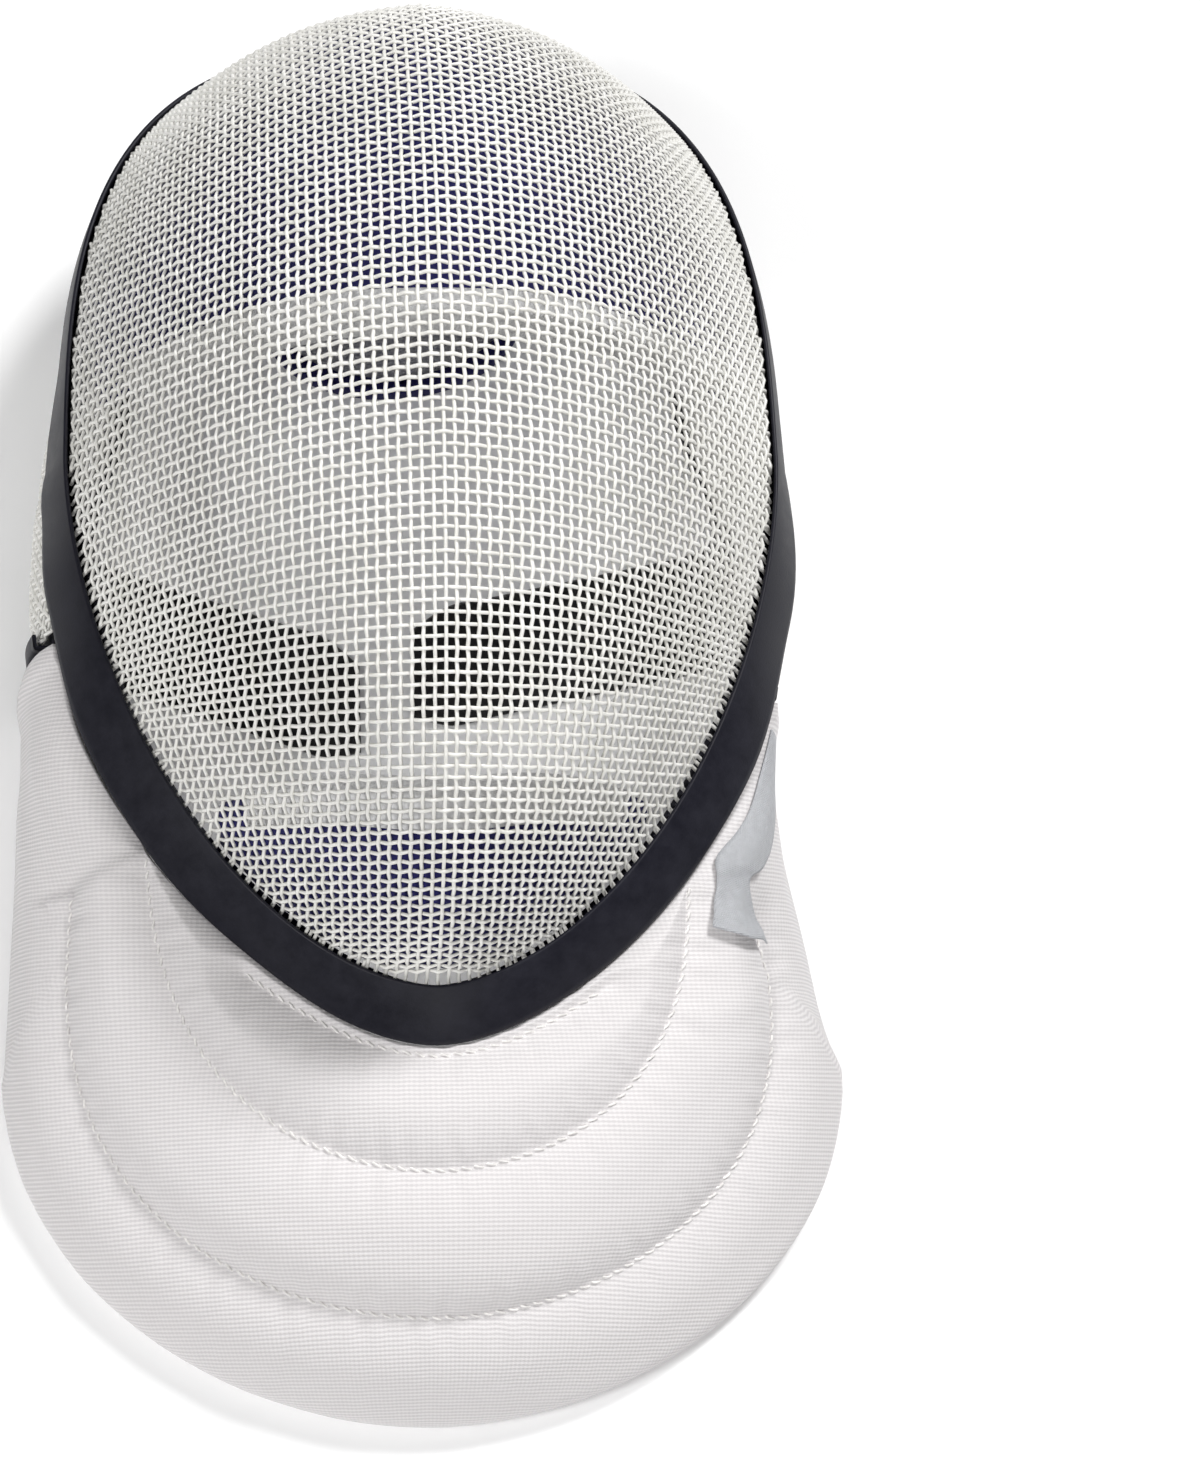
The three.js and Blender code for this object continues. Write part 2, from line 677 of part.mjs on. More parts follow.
const mask = new THREE.Group();
mask.name = "fencing_mask";
mask.position.set(-WIDTH_MIDDLE_X, -LENGTH_MIDDLE_Y, 0);
mask.add(part("front_mesh", frontMesh(), "mesh"));
mask.add(part("front_trim", frontTrim(), "trim"));
for (const [name, plate] of Object.entries(PLATES)) {
  mask.add(part(`side_mesh_${name}`, sidePlate(plate), "mesh"));
  mask.add(part(`side_edging_${name}`, sideEdging(plate), "trim"));
  mask.add(part(`strap_${name}`, strap(STRAPS[name], plate), "black"));
}
mask.add(part("crown_pad", innerPad(CROWN_PAD), "navy"));
mask.add(part("crown_binding", padBinding(CROWN_PAD), "grey"));
mask.add(part("chin_pad", innerPad(CHIN_PAD), "navy"));
mask.add(part("chin_binding", padBinding(CHIN_PAD), "grey"));
mask.add(part("tongue_panel", tonguePanel(), "grey"));
mask.add(part("tongue_rim", tongueRim(), "navy"));
mask.add(part("bib", bib(), "white"));
mask.add(part("label", label(), "grey"));

export default mask;
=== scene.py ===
import math

import bpy
import numpy as np
from mathutils import Matrix


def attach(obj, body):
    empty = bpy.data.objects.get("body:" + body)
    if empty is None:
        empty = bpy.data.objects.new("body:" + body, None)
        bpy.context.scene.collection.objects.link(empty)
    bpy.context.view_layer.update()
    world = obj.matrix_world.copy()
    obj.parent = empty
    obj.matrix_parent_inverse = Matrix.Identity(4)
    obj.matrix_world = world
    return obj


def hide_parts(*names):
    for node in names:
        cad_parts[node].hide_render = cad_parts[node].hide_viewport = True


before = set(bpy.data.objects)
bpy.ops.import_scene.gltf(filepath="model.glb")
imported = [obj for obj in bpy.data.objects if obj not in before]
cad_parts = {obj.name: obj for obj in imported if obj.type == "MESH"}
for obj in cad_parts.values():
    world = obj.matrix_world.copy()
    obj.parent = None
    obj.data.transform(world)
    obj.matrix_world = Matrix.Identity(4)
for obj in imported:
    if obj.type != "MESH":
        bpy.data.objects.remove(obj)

# A fencing mask lying on its back, face up. Sizes are millimetres, counted as in the part's source:
# Y from the deepest point of the face mesh, Z up from the table. The row frame adds this shift.
ROW_SHIFT = np.array([0.18, 35.56, 0.0])
MM = 0.001
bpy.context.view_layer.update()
# No point goes below the table.
LOWEST = np.array([-np.inf, -np.inf, 0.0])

# Face mesh.
RIM_HEIGHT = 72.0
BOWL_DEPTH = 113.5
CHIN_REACH = 132.0
CROWN_REACH = 155.0
HALF_WIDTH = 98.0
WIDEST_Y = 25.0
CHIN_ROUNDNESS = 1.75
CROWN_ROUNDNESS = 2.9
CREASE_SHARE = 0.24
WALL_POWER = 2.4
MESH_THICKNESS = 2.2

# Woven wire.
WIRE_RADIUS = 0.53
WIRE_CRIMP = 0.5
WARP_PITCH = 3.0
WEFT_PITCH = 3.0
# How far the wires were drawn apart on slopes: 1 keeps the pitch along the wall, 0 keeps it seen from above.
WARP_DRAW = 0.56
CHIN_DRAW = 0.9
CROWN_DRAW = 0.2
# The least level share of a step, so that the wires don't thin out on the steepest walls.
LEAST_LEVEL = 0.62
# Lean of the wefts' planes towards the crown, by the Y where they cross the crease.
WEFT_LEANS = [
    (-90, 0.36), (-60, 0.27), (-40, 0.24), (-10, 0.245), (20, 0.28), (50, 0.32), (90, 0.30),
    (120, 0.20), (140, 0.10), (152, 0.02),
]
LAST_WEFT_ANGLE = 88.0
WIRE_SIDES = 6
WIRE_STEPS = 2
FIRST_WEFT_Y = 25.0
# Wire ends turn into the flange by the tuck; one that stops within the last reach of the rim is led on to it.
TUCK_LENGTH = 4.0
LAST_REACH = 12.0
LEAD_ON = 4.0
NET_DEPTH = 8.0
NET_SPREAD = 1.1
CREASE_SAMPLES = 6000
WEFT_SAMPLES = 320
MOST_WARPS = 60
SOLVER_STEPS = 8
MIRROR = np.array([-1.0, 1.0, 1.0])

# Channel trim. Sections here and below are corners: along, up, radius.
FLANGE_LENGTH = 10.0
TRIM_WIDTH = 17.6
TRIM_STATIONS = 220
LEFT_SLOPES = np.array([
    (-90, 43), (-64, 55), (-45, 42), (-33, 40), (-17, 55), (-6, 66), (9, 82), (90, 76),
], float)
RIGHT_SLOPES = np.array([(-90, 43), (-68, 50), (-48, 46), (-37, 43), (-20, 58), (4, 80), (90, 76)], float)

TRIM_SECTION = [
    (-7.5, -3.9, 0.8), (7.6, -3.9, 2.6), (7.6, 3.9, 2.6), (-9.8, 2.7, 0.6),
    (-9.8, 1.5, 0.4), (0.3, 1.6, 0.4), (0.3, -1.6, 0.4), (-7.5, -1.6, 0.6),
]

# Side plates and their edging.
PLATE_PITCH = 2.93
PLATE_END_Y = 105.0
PLATE_CORNER = 14.0
PLATE_EDGE_HEIGHT = 2.4
PLATE_TOP_GAP = 1.0
PLATES = {
    "left": {"side": -1, "start_y": -20.0, "bulge": 7.0, "inset": 0.0},
    "right": {"side": 1, "start_y": -36.0, "bulge": -2.0, "inset": 5.0},
}
PLATE_FEET = np.array([(-38, 101), (0, 101), (30, 97), (75, 87), (105, 80)], float)
EDGING_FIRST_SHARE = 0.19
EDGING_SECTION = [
    (-3.0, -3.0, 0.5), (1.8, -3.0, 1.2), (1.8, 3.0, 1.2), (-3.0, 3.0, 0.5),
    (-3.0, 1.8, 0.3), (0.3, 1.8, 0.3), (0.3, -1.8, 0.3), (-3.0, -1.8, 0.3),
]

# Inner pads and their bindings.
PAD_THICKNESS = 8.0
PAD_GAP = 0.6
PAD_RIM_SHARE = 0.993
PAD_SKIRT_START = 0.6
PAD_SOFTNESS = 0.3
PAD_ROUNDING = 5.0
PAD_EDGE_HALF = 0.4
PAD_COLUMNS = 90
PAD_ROWS = 36
BINDING_LEAF = 1.2
BINDING_GAP = 1.0
PADS = {
    "crown": {
        "front_y": 19.0, "side_rise": 21.0, "first": 12.0, "turn": 156.0, "stand_off": 6.0,
        "lip": 5.2, "lip_share": 0.05, "skirt": 0.0,
    },
    "chin": {
        "front_y": -108.0, "side_rise": 24.0, "first": -48.0, "turn": -84.0, "stand_off": 2.0,
        "lip": 8.0, "lip_share": 0.15, "skirt": 16.0,
    },
}

# Back tongue.
TONGUE_ROOT_HALF = 31.0
TONGUE_HALF = 39.0
TONGUE_THICKNESS = 4.0
TONGUE_TIP = 26.0
TONGUE_END_SHARE = 0.16
TONGUE_DRIFT = -8.0
TONGUE_PATH = np.array([(159, 53.6), (155.5, 36), (139, 18), (113, 8), (80, 4)], float)
TONGUE_RIM_SECTION = [
    (-2.6, -3.8, 0.6), (2.2, -3.8, 1.7), (2.2, 3.8, 1.7), (-2.6, 3.8, 0.6),
    (-2.6, 2.7, 0.4), (0.3, 2.5, 0.3), (0.3, -2.5, 0.3), (-2.6, -2.7, 0.4),
]

# Straps.
STRAP_WIDTH = 38.0
STRAP_THICKNESS = 2.2
STRAP_COLUMNS = 28
STRAP_ROWS = 90
STRAP_BEND = 7.0
STRAP_CORNER = 6.0
STRAP_END_SHARE = 0.72
STRAP_ROUNDING = 1.2
STRAP_EDGE_SHARE = 0.35
# Where the straps climb the plates: share of the plate's height from its top, and gap to it.
STRAP_CLIMB = np.array([(0.93, 4.3), (0.84, 4.3), (0.72, 2.8), (0.60, 2.8)])
STRAPS = {
    "left": {"inner": 17.0, "inner_y": -23.0, "outer_y": 4.0},
    "right": {"inner": -2.0, "inner_y": -12.0, "outer_y": 7.0},
}

# Bib.
BIB_WINGS = {
    "left": {"end_y": -24.0, "half": 109.0, "ease": 0.5, "bulge": 6.0, "puff": 2.0},
    "right": {"end_y": -42.0, "half": 95.5, "ease": 0.62, "bulge": 1.0, "puff": 0.8},
}
BIB_SIDE_Y = -142.0
BIB_SIDE_HALF = 113.5
BIB_END_Y = -233.0
BIB_ROUNDNESS = 1.9
BIB_SIDE_SHARE = 0.65
BIB_FOOT_HEIGHT = 0.6
BIB_CENTRE_BULGE = 15.0
BIB_TOP_GAP = 0.9
BIB_COLUMNS = 260
BIB_ROWS = 110
BIB_ROW_EASE = 0.92
BIB_SKIN = 1.1
BIB_PUFF = 5.0
BIB_BACK_PUFF = 1.5
BIB_WING_START = 0.72
BIB_END_STEPS = 3.0
BIB_END_SHARE = 0.55
LOBE_REACH = 17.0
EDGE_REACH = 9.0
PUCKER_REACH = 13.0
PUCKER_HEIGHT = 0.5
PUCKER_LENGTHS = (6.8, 10.7)
SWAY_HEIGHT = 0.22
HEM_WIDTH = 0.035
HEM_RISE = 0.9
QUILT_LINES = [
    {"centre": 0.020, "fall": -0.016, "reach": 0.40, "power": 2.0},
    {"centre": 0.270, "fall": 0.270, "reach": 0.64, "power": 4.0},
    {"centre": 0.642, "fall": 0.315, "reach": 0.70, "power": 5.2},
]
# Soft folds of the bib: first and last place (t, fall), height and half width.
BIB_FOLDS = [
    ((-0.93, 0.05), (-0.70, 0.12), 1.1, 6.0),
    ((-0.95, 0.30), (-0.76, 0.26), 1.3, 6.0),
    ((-0.90, 0.62), (-0.72, 0.52), 1.0, 7.0),
    ((-0.62, 0.16), (-0.52, 0.36), 0.9, 5.0),
    ((0.47, 0.23), (0.62, 0.42), 1.1, 5.0),
    ((0.44, 0.33), (0.58, 0.50), 0.8, 5.0),
    ((0.72, 0.45), (0.88, 0.36), 0.9, 6.0),
]
# The sewn edge of the left side panel, which sits lower than the quilted front.
PANEL_SEAM = {"start": (-0.65, 0.0), "end": (-0.703, 0.31), "step": 2.6, "reach": 18.0, "turn": 3.5}
STITCH_PITCH = 3.4
STITCH_LENGTH = 2.5
STITCH_RADIUS = 0.34
STITCH_SLANT = 0.45
STITCH_SIDES = 6
# A stitch from end to end: share of half its length, and height over the cloth.
STITCH_PROFILE = np.array([(-1.0, -0.25), (-0.7, 0.22), (0.0, 0.4), (0.7, 0.22), (1.0, -0.25)])
GRAIN_WAY = np.array([0.0, -1.0, -0.25])

# Label: places (t, fall) of its left and right edge on the bib, and its height over it.
LABEL_ROWS = [
    ((0.950, 0.000), (0.955, 0.130), 0.3),
    ((0.878, 0.010), (0.890, 0.150), 0.8),
    ((0.810, 0.025), (0.845, 0.190), 1.5),
    ((0.758, 0.020), (0.790, 0.205), 2.0),
    ((0.700, 0.012), (0.745, 0.190), 2.2),
    ((0.663, 0.065), (0.708, 0.173), 1.2),
    ((0.605, 0.125), (0.670, 0.362), 3.0),
]
LABEL_HALF = 0.25
LABEL_CURL = 0.5

# Camera, as found from the photo. Angles are degrees, lengths millimetres.
PHOTO_SIZE = (1200.0, 1481.0)
CAMERA_AIM = np.array([0.0, -67.0, 169.5])
CAMERA_AIM_PIXEL = (446.2, 604.5)
CAMERA_TURN = 6.6
CAMERA_HEIGHT = 65.2
CAMERA_ROLL = 5.6
CAMERA_DISTANCE = 950.0
CAMERA_FOCAL_PIXELS = 3846.0
SENSOR_WIDTH = 36.0

# Table and lights, in metres and watts: place, size and power of each light.
TABLE_REACH = 4.0
TABLE_DROP = 0.0002
TABLE_GLOW = 0.10
WORLD_LIGHT = 0.12
LIGHT_AIM = (0.0, 0.0, 0.08)
LIGHTS = {
    "key": ((0.75, 0.75, 1.5), 0.4, 25.0),
    "fill": ((-0.9, -0.6, 1.5), 0.4, 15.0),
    "front": ((0.2, -1.4, 1.1), 0.6, 6.5),
}


def smoothstep(x, low, high):
    share = np.clip((x - low) / (high - low), 0.0, 1.0)
    return share * share * (3.0 - 2.0 * share)


def lerp(a, b, share):
    return a + (b - a) * share


def signed_power(value, power):
    return np.sign(value) * np.abs(value) ** power


def unit(vectors):
    return vectors / np.maximum(np.linalg.norm(vectors, axis=-1, keepdims=True), 1e-12)


def eased_table(table, at):
    """Second column of a table by its first, eased between its rows."""
    at = np.asarray(at, float)
    low = np.clip(np.searchsorted(table[:, 0], at) - 1, 0, len(table) - 2)
    share = smoothstep(at, table[low, 0], table[low + 1, 0])
    return lerp(table[low, 1], table[low + 1, 1], share)


# Shapes shared with the part's source.

def rim_reach(y):
    return np.where(y > WIDEST_Y, CROWN_REACH - WIDEST_Y, CHIN_REACH + WIDEST_Y)


def rim_roundness(y):
    return np.where(y > WIDEST_Y, CROWN_ROUNDNESS, CHIN_ROUNDNESS)


def rim_half_width(y):
    left = 1.0 - np.abs((y - WIDEST_Y) / rim_reach(y)) ** rim_roundness(y)
    return HALF_WIDTH * np.maximum(left, 1e-4) ** (1.0 / rim_roundness(y))


def rim_point(angle):
    side = WIDEST_Y + np.sin(angle)
    x = HALF_WIDTH * signed_power(np.cos(angle), 2.0 / rim_roundness(side))
    y = WIDEST_Y + rim_reach(side) * signed_power(np.sin(angle), 2.0 / rim_roundness(side))
    return x, y


def rim_angle(y):
    y = np.asarray(y, float)
    return np.arcsin(signed_power((y - WIDEST_Y) / rim_reach(y), rim_roundness(y) / 2.0))


def rim_station(angle):
    """Rim points with the direction the trim's face runs (along) and the way it looks (up)."""
    angle = np.asarray(angle, float)
    x, y = rim_point(angle)
    power = rim_roundness(y) - 1.0
    out = np.stack([
        signed_power(x / HALF_WIDTH, power) / HALF_WIDTH,
        signed_power((y - WIDEST_Y) / rim_reach(y), power) / rim_reach(y),
    ], -1)
    out = unit(out)
    around = np.degrees(np.arcsin(np.clip(np.sin(angle), -1.0, 1.0)))
    slope = np.where(np.cos(angle) < 0, eased_table(LEFT_SLOPES, around), eased_table(RIGHT_SLOPES, around))
    slope = np.radians(slope)
    cos, sin = np.cos(slope)[..., None], np.sin(slope)[..., None]
    origin = np.stack([x, y, np.full_like(x, RIM_HEIGHT)], -1)
    along = np.concatenate([out * cos, -sin], -1)
    up = np.concatenate([out * sin, cos], -1)
    return origin, along, up


def wall_fall(share, softness):
    """Fall of the bowl's wall, by the share of the way from the crease to the rim."""
    return CREASE_SHARE * np.hypot(share, softness) + (1.0 - CREASE_SHARE) * share ** WALL_POWER


def bowl_height(x, y, softness):
    reach = np.where(y > 0, CROWN_REACH, CHIN_REACH)
    crest = BOWL_DEPTH * np.sqrt(np.maximum(0.0, 1.0 - (y / reach) ** 2))
    share = np.minimum(1.0, np.abs(x) / rim_half_width(y))
    return RIM_HEIGHT + crest * (1.0 - wall_fall(share, softness))


def plate_point(plate, y, share):
    y, share = np.broadcast_arrays(np.asarray(y, float), np.asarray(share, float))
    angle = rim_angle(y)
    origin, along, _ = rim_station(np.pi - angle if plate["side"] < 0 else angle)
    top = origin + along * (TRIM_WIDTH + PLATE_TOP_GAP)
    half = eased_table(PLATE_FEET, y) - plate["inset"]
    x = lerp(np.abs(top[..., 0]), half, share) + plate["bulge"] * np.sin(np.pi * share)
    return np.stack([
        plate["side"] * x,
        lerp(top[..., 1], y, share),
        lerp(top[..., 2], PLATE_EDGE_HEIGHT, share),
    ], -1)


def plate_normal(plate, y, share):
    step = 0.01
    along = plate_point(plate, y + step, share) - plate_point(plate, y - step, share)
    down = plate_point(plate, y, share + step) - plate_point(plate, y, share - step)
    normal = unit(np.cross(along, down))
    turn = np.where(normal[..., :1] * plate["side"] < 0, -1.0, 1.0)
    return normal * turn


def wing_size(t, key):
    return np.where(t < 0, BIB_WINGS["left"][key], BIB_WINGS["right"][key])


def bib_point(t, fall):
    """Middle of the bib: t runs from the left wing's end to the right one's, fall from trim to hem."""
    t, fall = np.broadcast_arrays(np.asarray(t, float), np.asarray(fall, float))
    end_y = wing_size(t, "end_y")
    origin, along, up = rim_station(-np.pi / 2 + t * (rim_angle(end_y) + np.pi / 2))
    top = origin + along * (TRIM_WIDTH + BIB_TOP_GAP)
    share = np.abs(t)
    wing = np.clip((share - BIB_SIDE_SHARE) / (1.0 - BIB_SIDE_SHARE), 0.0, 1.0)
    turn = np.pi / 2 * np.minimum(1.0, share / BIB_SIDE_SHARE)
    in_wing = share > BIB_SIDE_SHARE
    round_x = BIB_SIDE_HALF * np.sin(turn) ** (2.0 / BIB_ROUNDNESS)
    round_y = lerp(BIB_SIDE_Y, BIB_END_Y, np.maximum(np.cos(turn), 0.0) ** (2.0 / BIB_ROUNDNESS))
    wing_x = lerp(BIB_SIDE_HALF, wing_size(t, "half"), wing ** wing_size(t, "ease"))
    foot_x = np.where(in_wing, wing_x, round_x) * np.sign(t)
    foot_y = np.where(in_wing, lerp(BIB_SIDE_Y, end_y, wing), round_y)
    foot = np.stack([foot_x, foot_y, np.full_like(foot_x, BIB_FOOT_HEIGHT)], -1)
    bulge = lerp(BIB_CENTRE_BULGE, wing_size(t, "bulge"), smoothstep(share, 0.0, 1.0))
    bulge = bulge * 4.0 * fall * (1.0 - fall)
    return lerp(top, foot, fall[..., None]) + up * bulge[..., None]


def pad_point(pad, across, run):
    """Middle of an inner pad and its way out; run goes from the free front edge to the rim or past it."""
    across, run = np.broadcast_arrays(np.asarray(across, float), np.asarray(run, float))
    skirt_start = PAD_SKIRT_START if pad["skirt"] > 0 else 1.0
    along = np.minimum(1.0, run / skirt_start)
    drop = pad["skirt"] * np.maximum(0.0, run - skirt_start) / (1.0 - PAD_SKIRT_START)
    rim_x, rim_y = rim_point(np.radians(pad["first"] + pad["turn"] * across))
    side = 1.0 - 2.0 * across
    front_y = pad["front_y"] + pad["side_rise"] * side * side
    front_x = side * PAD_RIM_SHARE * rim_half_width(front_y)
    x = lerp(front_x, rim_x * PAD_RIM_SHARE, along)
    y = lerp(front_y, lerp(WIDEST_Y, rim_y, PAD_RIM_SHARE), along)
    free = 1.0 - smoothstep(along, 0.0, 1.0)
    depth = MESH_THICKNESS + PAD_GAP + PAD_THICKNESS / 2
    depth = depth + free * (BINDING_LEAF + BINDING_GAP + pad["stand_off"] * (1.0 - side * side))
    step = 0.05
    slope_x = bowl_height(x + step, y, PAD_SOFTNESS) - bowl_height(x - step, y, PAD_SOFTNESS)
    slope_y = bowl_height(x, y + step, PAD_SOFTNESS) - bowl_height(x, y - step, PAD_SOFTNESS)
    normal = unit(np.stack([-slope_x, -slope_y, np.full_like(x, 2.0 * step)], -1))
    point = np.stack([x, y, bowl_height(x, y, PAD_SOFTNESS) - drop], -1)
    return point - normal * depth[..., None], normal


# Mesh making.

def grid_quads(rows, columns, loop=False):
    row = np.arange(rows - 1)[:, None]
    column = np.arange(columns if loop else columns - 1)[None, :]
    after = (column + 1) % columns
    here, below = row * columns, (row + 1) * columns
    corners = [here + column, here + after, below + after, below + column]
    return np.stack([np.broadcast_to(c, (rows - 1, column.size)) for c in corners], -1).reshape(-1, 4)


def closed_wall(outer, inner):
    """Points and quads of a closed wall between two grids of the same size."""
    rows, columns = outer.shape[:2]
    count = rows * columns
    points = np.concatenate([outer.reshape(-1, 3), inner.reshape(-1, 3)])
    face = grid_quads(rows, columns)
    index = np.arange(count).reshape(rows, columns)
    border = np.concatenate([index[0, :-1], index[:-1, -1], index[-1, :0:-1], index[:0:-1, 0]])
    after = np.roll(border, -1)
    edge = np.stack([border, border + count, after + count, after], -1)
    return points, np.concatenate([face, face[:, ::-1] + count, edge])


def sweep(origins, alongs, ups, section, loop=False):
    """Points and quads of a closed section carried along stations, with end caps unless it is a loop."""
    section = np.asarray(section, float)
    points = origins[:, None] + alongs[:, None] * section[None, :, :1] + ups[:, None] * section[None, :, 1:]
    stations, size = points.shape[:2]
    if loop:
        quads = grid_quads(stations + 1, size, loop=True) % (stations * size)
        return points.reshape(-1, 3), quads
    quads = [grid_quads(stations, size, loop=True)]
    for base, flip in ((0, False), ((stations - 1) * size, True)):
        low = np.arange(size // 2 - 1)
        cap = np.stack([low, low + 1, size - 2 - low, size - 1 - low], -1) + base
        quads.append(cap[:, ::-1] if flip else cap)
    return points.reshape(-1, 3), np.concatenate(quads)


def rounded_outline(corners, steps=4):
    """Closed outline through corners given as (a, b, radius), each rounded off."""
    points, radius = np.split(np.array(corners)[:, None], [2], axis=-1)
    back, ahead = (unit(np.roll(points, shift, axis=0) - points) for shift in (1, -1))
    share = np.linspace(0.0, 1.0, steps)[:, None]
    return (points + radius * (back * (1.0 - share) ** 2 + ahead * share ** 2)).reshape(-1, 2)


def tubes(paths, radius, sides):
    """Points and quads of capped round tubes along paths of (points, normals)."""
    angles = 2.0 * np.pi * np.arange(sides) / sides
    section = radius * np.stack([np.cos(angles), np.sin(angles)], -1)
    all_points, all_quads, base = [], [], 0
    for path, normals in paths:
        tangent = unit(np.gradient(path, axis=0))
        side = unit(np.cross(tangent, normals))
        points, quads = sweep(path, np.cross(side, tangent), side, section)
        all_points.append(points)
        all_quads.append(quads + base)
        base += len(points)
    return np.concatenate(all_points), np.concatenate(all_quads)


def run_length(path):
    """Length along a row of points, or along each column of a grid of them."""
    steps = np.linalg.norm(np.diff(path, axis=0), axis=-1)
    return np.concatenate([np.zeros_like(steps[:1]), np.cumsum(steps, axis=0)])


def surface_normals(points):
    normals = unit(np.cross(np.gradient(points, axis=1), np.gradient(points, axis=0)))
    return -normals if normals[..., 2].mean() < 0 else normals


def steps_in(count):
    """Steps from the nearer end of a row of points."""
    return np.minimum(np.arange(count), np.arange(count)[::-1])


def edge_way(edge, normals, centre):
    """The way out of a sheet at each point of its edge."""
    along = unit(np.cross(unit(np.gradient(edge, axis=0)), normals))
    outward = np.sum(along * (edge - centre), -1, keepdims=True)
    return np.where(outward < 0, -along, along)


def facing_out(points, quads):
    """The quads of a closed mesh, turned round if they point in."""
    a, b, c, d = points[quads.T]
    volume = np.sum(a * (np.cross(b, c) + np.cross(c, d)))
    return quads[:, [0, 3, 2, 1]] if volume < 0 else quads


def add_piece(name, shape, material, node, weave=None):
    """A piece of the mask from points in millimetres and quads, in the row frame."""
    points, quads = shape
    quads = facing_out(points, quads)
    mesh = bpy.data.meshes.new(name)
    mesh.from_pydata(((points + ROW_SHIFT) * MM).tolist(), [], quads.tolist())
    if weave is not None:
        layer = mesh.uv_layers.new(name="weave")
        layer.data.foreach_set("uv", weave[quads.ravel()].ravel())
    mesh.validate()
    mesh.shade_smooth()
    mesh.materials.append(material)
    piece = bpy.data.objects.new(name, mesh)
    bpy.context.scene.collection.objects.link(piece)
    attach(piece, "root")
    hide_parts(node)
    return piece


# Materials.

class Graph:
    """A short way to write a material's nodes."""

    def __init__(self, name, colour, roughness, **sockets):
        self.material = bpy.data.materials.new(name)
        self.material.use_nodes = True
        self.tree = self.material.node_tree
        self.shader = self.tree.nodes["Principled BSDF"]
        sockets = {"Base_Color": (*colour, 1.0), "Roughness": roughness, **sockets}
        for socket, value in sockets.items():
            self.shader.inputs[socket.replace("_", " ")].default_value = value

    def node(self, kind, inputs=None, **settings):
        made = self.tree.nodes.new(kind)
        for key, value in settings.items():
            setattr(made, key, value)
        for key, value in (inputs or {}).items():
            if isinstance(value, bpy.types.NodeSocket):
                self.tree.links.new(value, made.inputs[key])
            else:
                made.inputs[key].default_value = value
        return made

    def math(self, operation, a, b=0.0):
        return self.node("ShaderNodeMath", {0: a, 1: b}, operation=operation).outputs[0]

    def total(self, *parts):
        """Sum of values, each times its own share."""
        total = 0.0
        for value, share in parts:
            total = self.math("ADD", total, self.math("MULTIPLY", value, share))
        return total

    def weave(self):
        """The two lengths of the piece's own cloth, in millimetres."""
        place = self.node("ShaderNodeUVMap", uv_map="weave").outputs[0]
        split = self.node("ShaderNodeSeparateXYZ", {0: place})
        return split.outputs[0], split.outputs[1]

    def ripple(self, length, pitch):
        """Waves from 0 to 1 along a length."""
        wave = self.math("SINE", self.math("MULTIPLY", length, 2.0 * math.pi / pitch))
        return self.math("ADD", self.math("MULTIPLY", wave, 0.5), 0.5)

    def noise(self, scale, detail=2.0, rough=0.5):
        place = self.node("ShaderNodeTexCoord").outputs["Object"]
        inputs = {"Vector": place, "Scale": scale, "Detail": detail, "Roughness": rough}
        return self.node("ShaderNodeTexNoise", inputs).outputs["Fac"]

    def mottle_and_shade(self, share, dark, light):
        """Base colour between two colours: a random mottle on most pieces, painted shade in the loops'
        hollows on the knit.
        """
        ramp = self.node("ShaderNodeMapRange", {"Value": share, "From Min": 0.35, "From Max": 0.65})
        inputs = {0: ramp.outputs[0], 6: (*dark, 1.0), 7: (*light, 1.0)}
        mix = self.node("ShaderNodeMix", inputs, data_type="RGBA")
        self.tree.links.new(mix.outputs[2], self.shader.inputs["Base Color"])

    def roughness(self, share, low, high):
        spread = self.node("ShaderNodeMapRange", {"Value": share, "To Min": low, "To Max": high})
        self.tree.links.new(spread.outputs[0], self.shader.inputs["Roughness"])

    def bump(self, height, strength, distance):
        inputs = {"Strength": strength, "Distance": distance * MM, "Height": height}
        made = self.node("ShaderNodeBump", inputs)
        self.tree.links.new(made.outputs[0], self.shader.inputs["Normal"])


def enamel_material():
    graph = Graph("mesh_enamel", (0.87, 0.86, 0.82), 0.3, Specular_IOR_Level=0.65)
    blotch = graph.noise(90.0)
    graph.mottle_and_shade(blotch, (0.83, 0.82, 0.775), (0.90, 0.89, 0.855))
    graph.roughness(graph.noise(700.0), 0.22, 0.38)
    graph.bump(graph.noise(1400.0), 0.25, 0.15)
    return graph.material


def rubber_material():
    graph = Graph("trim_rubber", (0.010, 0.010, 0.017), 0.5, Specular_IOR_Level=0.26)
    grain = graph.noise(1800.0, 3.0)
    scuff = graph.noise(160.0, 6.0, 0.7)
    graph.mottle_and_shade(scuff, (0.006, 0.006, 0.012), (0.013, 0.013, 0.021))
    graph.roughness(scuff, 0.36, 0.62)
    graph.bump(grain, 0.35, 0.12)
    return graph.material


def knit_material():
    graph = Graph("knit_white", (0.72, 0.695, 0.70), 0.92, Sheen_Weight=0.25, Sheen_Roughness=0.5)
    across, along = graph.weave()
    rib = graph.ripple(across, 1.25)
    course = graph.ripple(along, 1.15)
    height = graph.total((course, 0.5), (rib, 0.2), (graph.noise(2200.0, 3.0), 0.3))
    # Painted shade: the knit's base colour follows the same height as its bump, darker in the hollows of its
    # loops and lighter on their crests.
    graph.mottle_and_shade(height, (0.65, 0.625, 0.63), (0.79, 0.765, 0.765))
    graph.bump(height, 0.6, 0.3)
    return graph.material


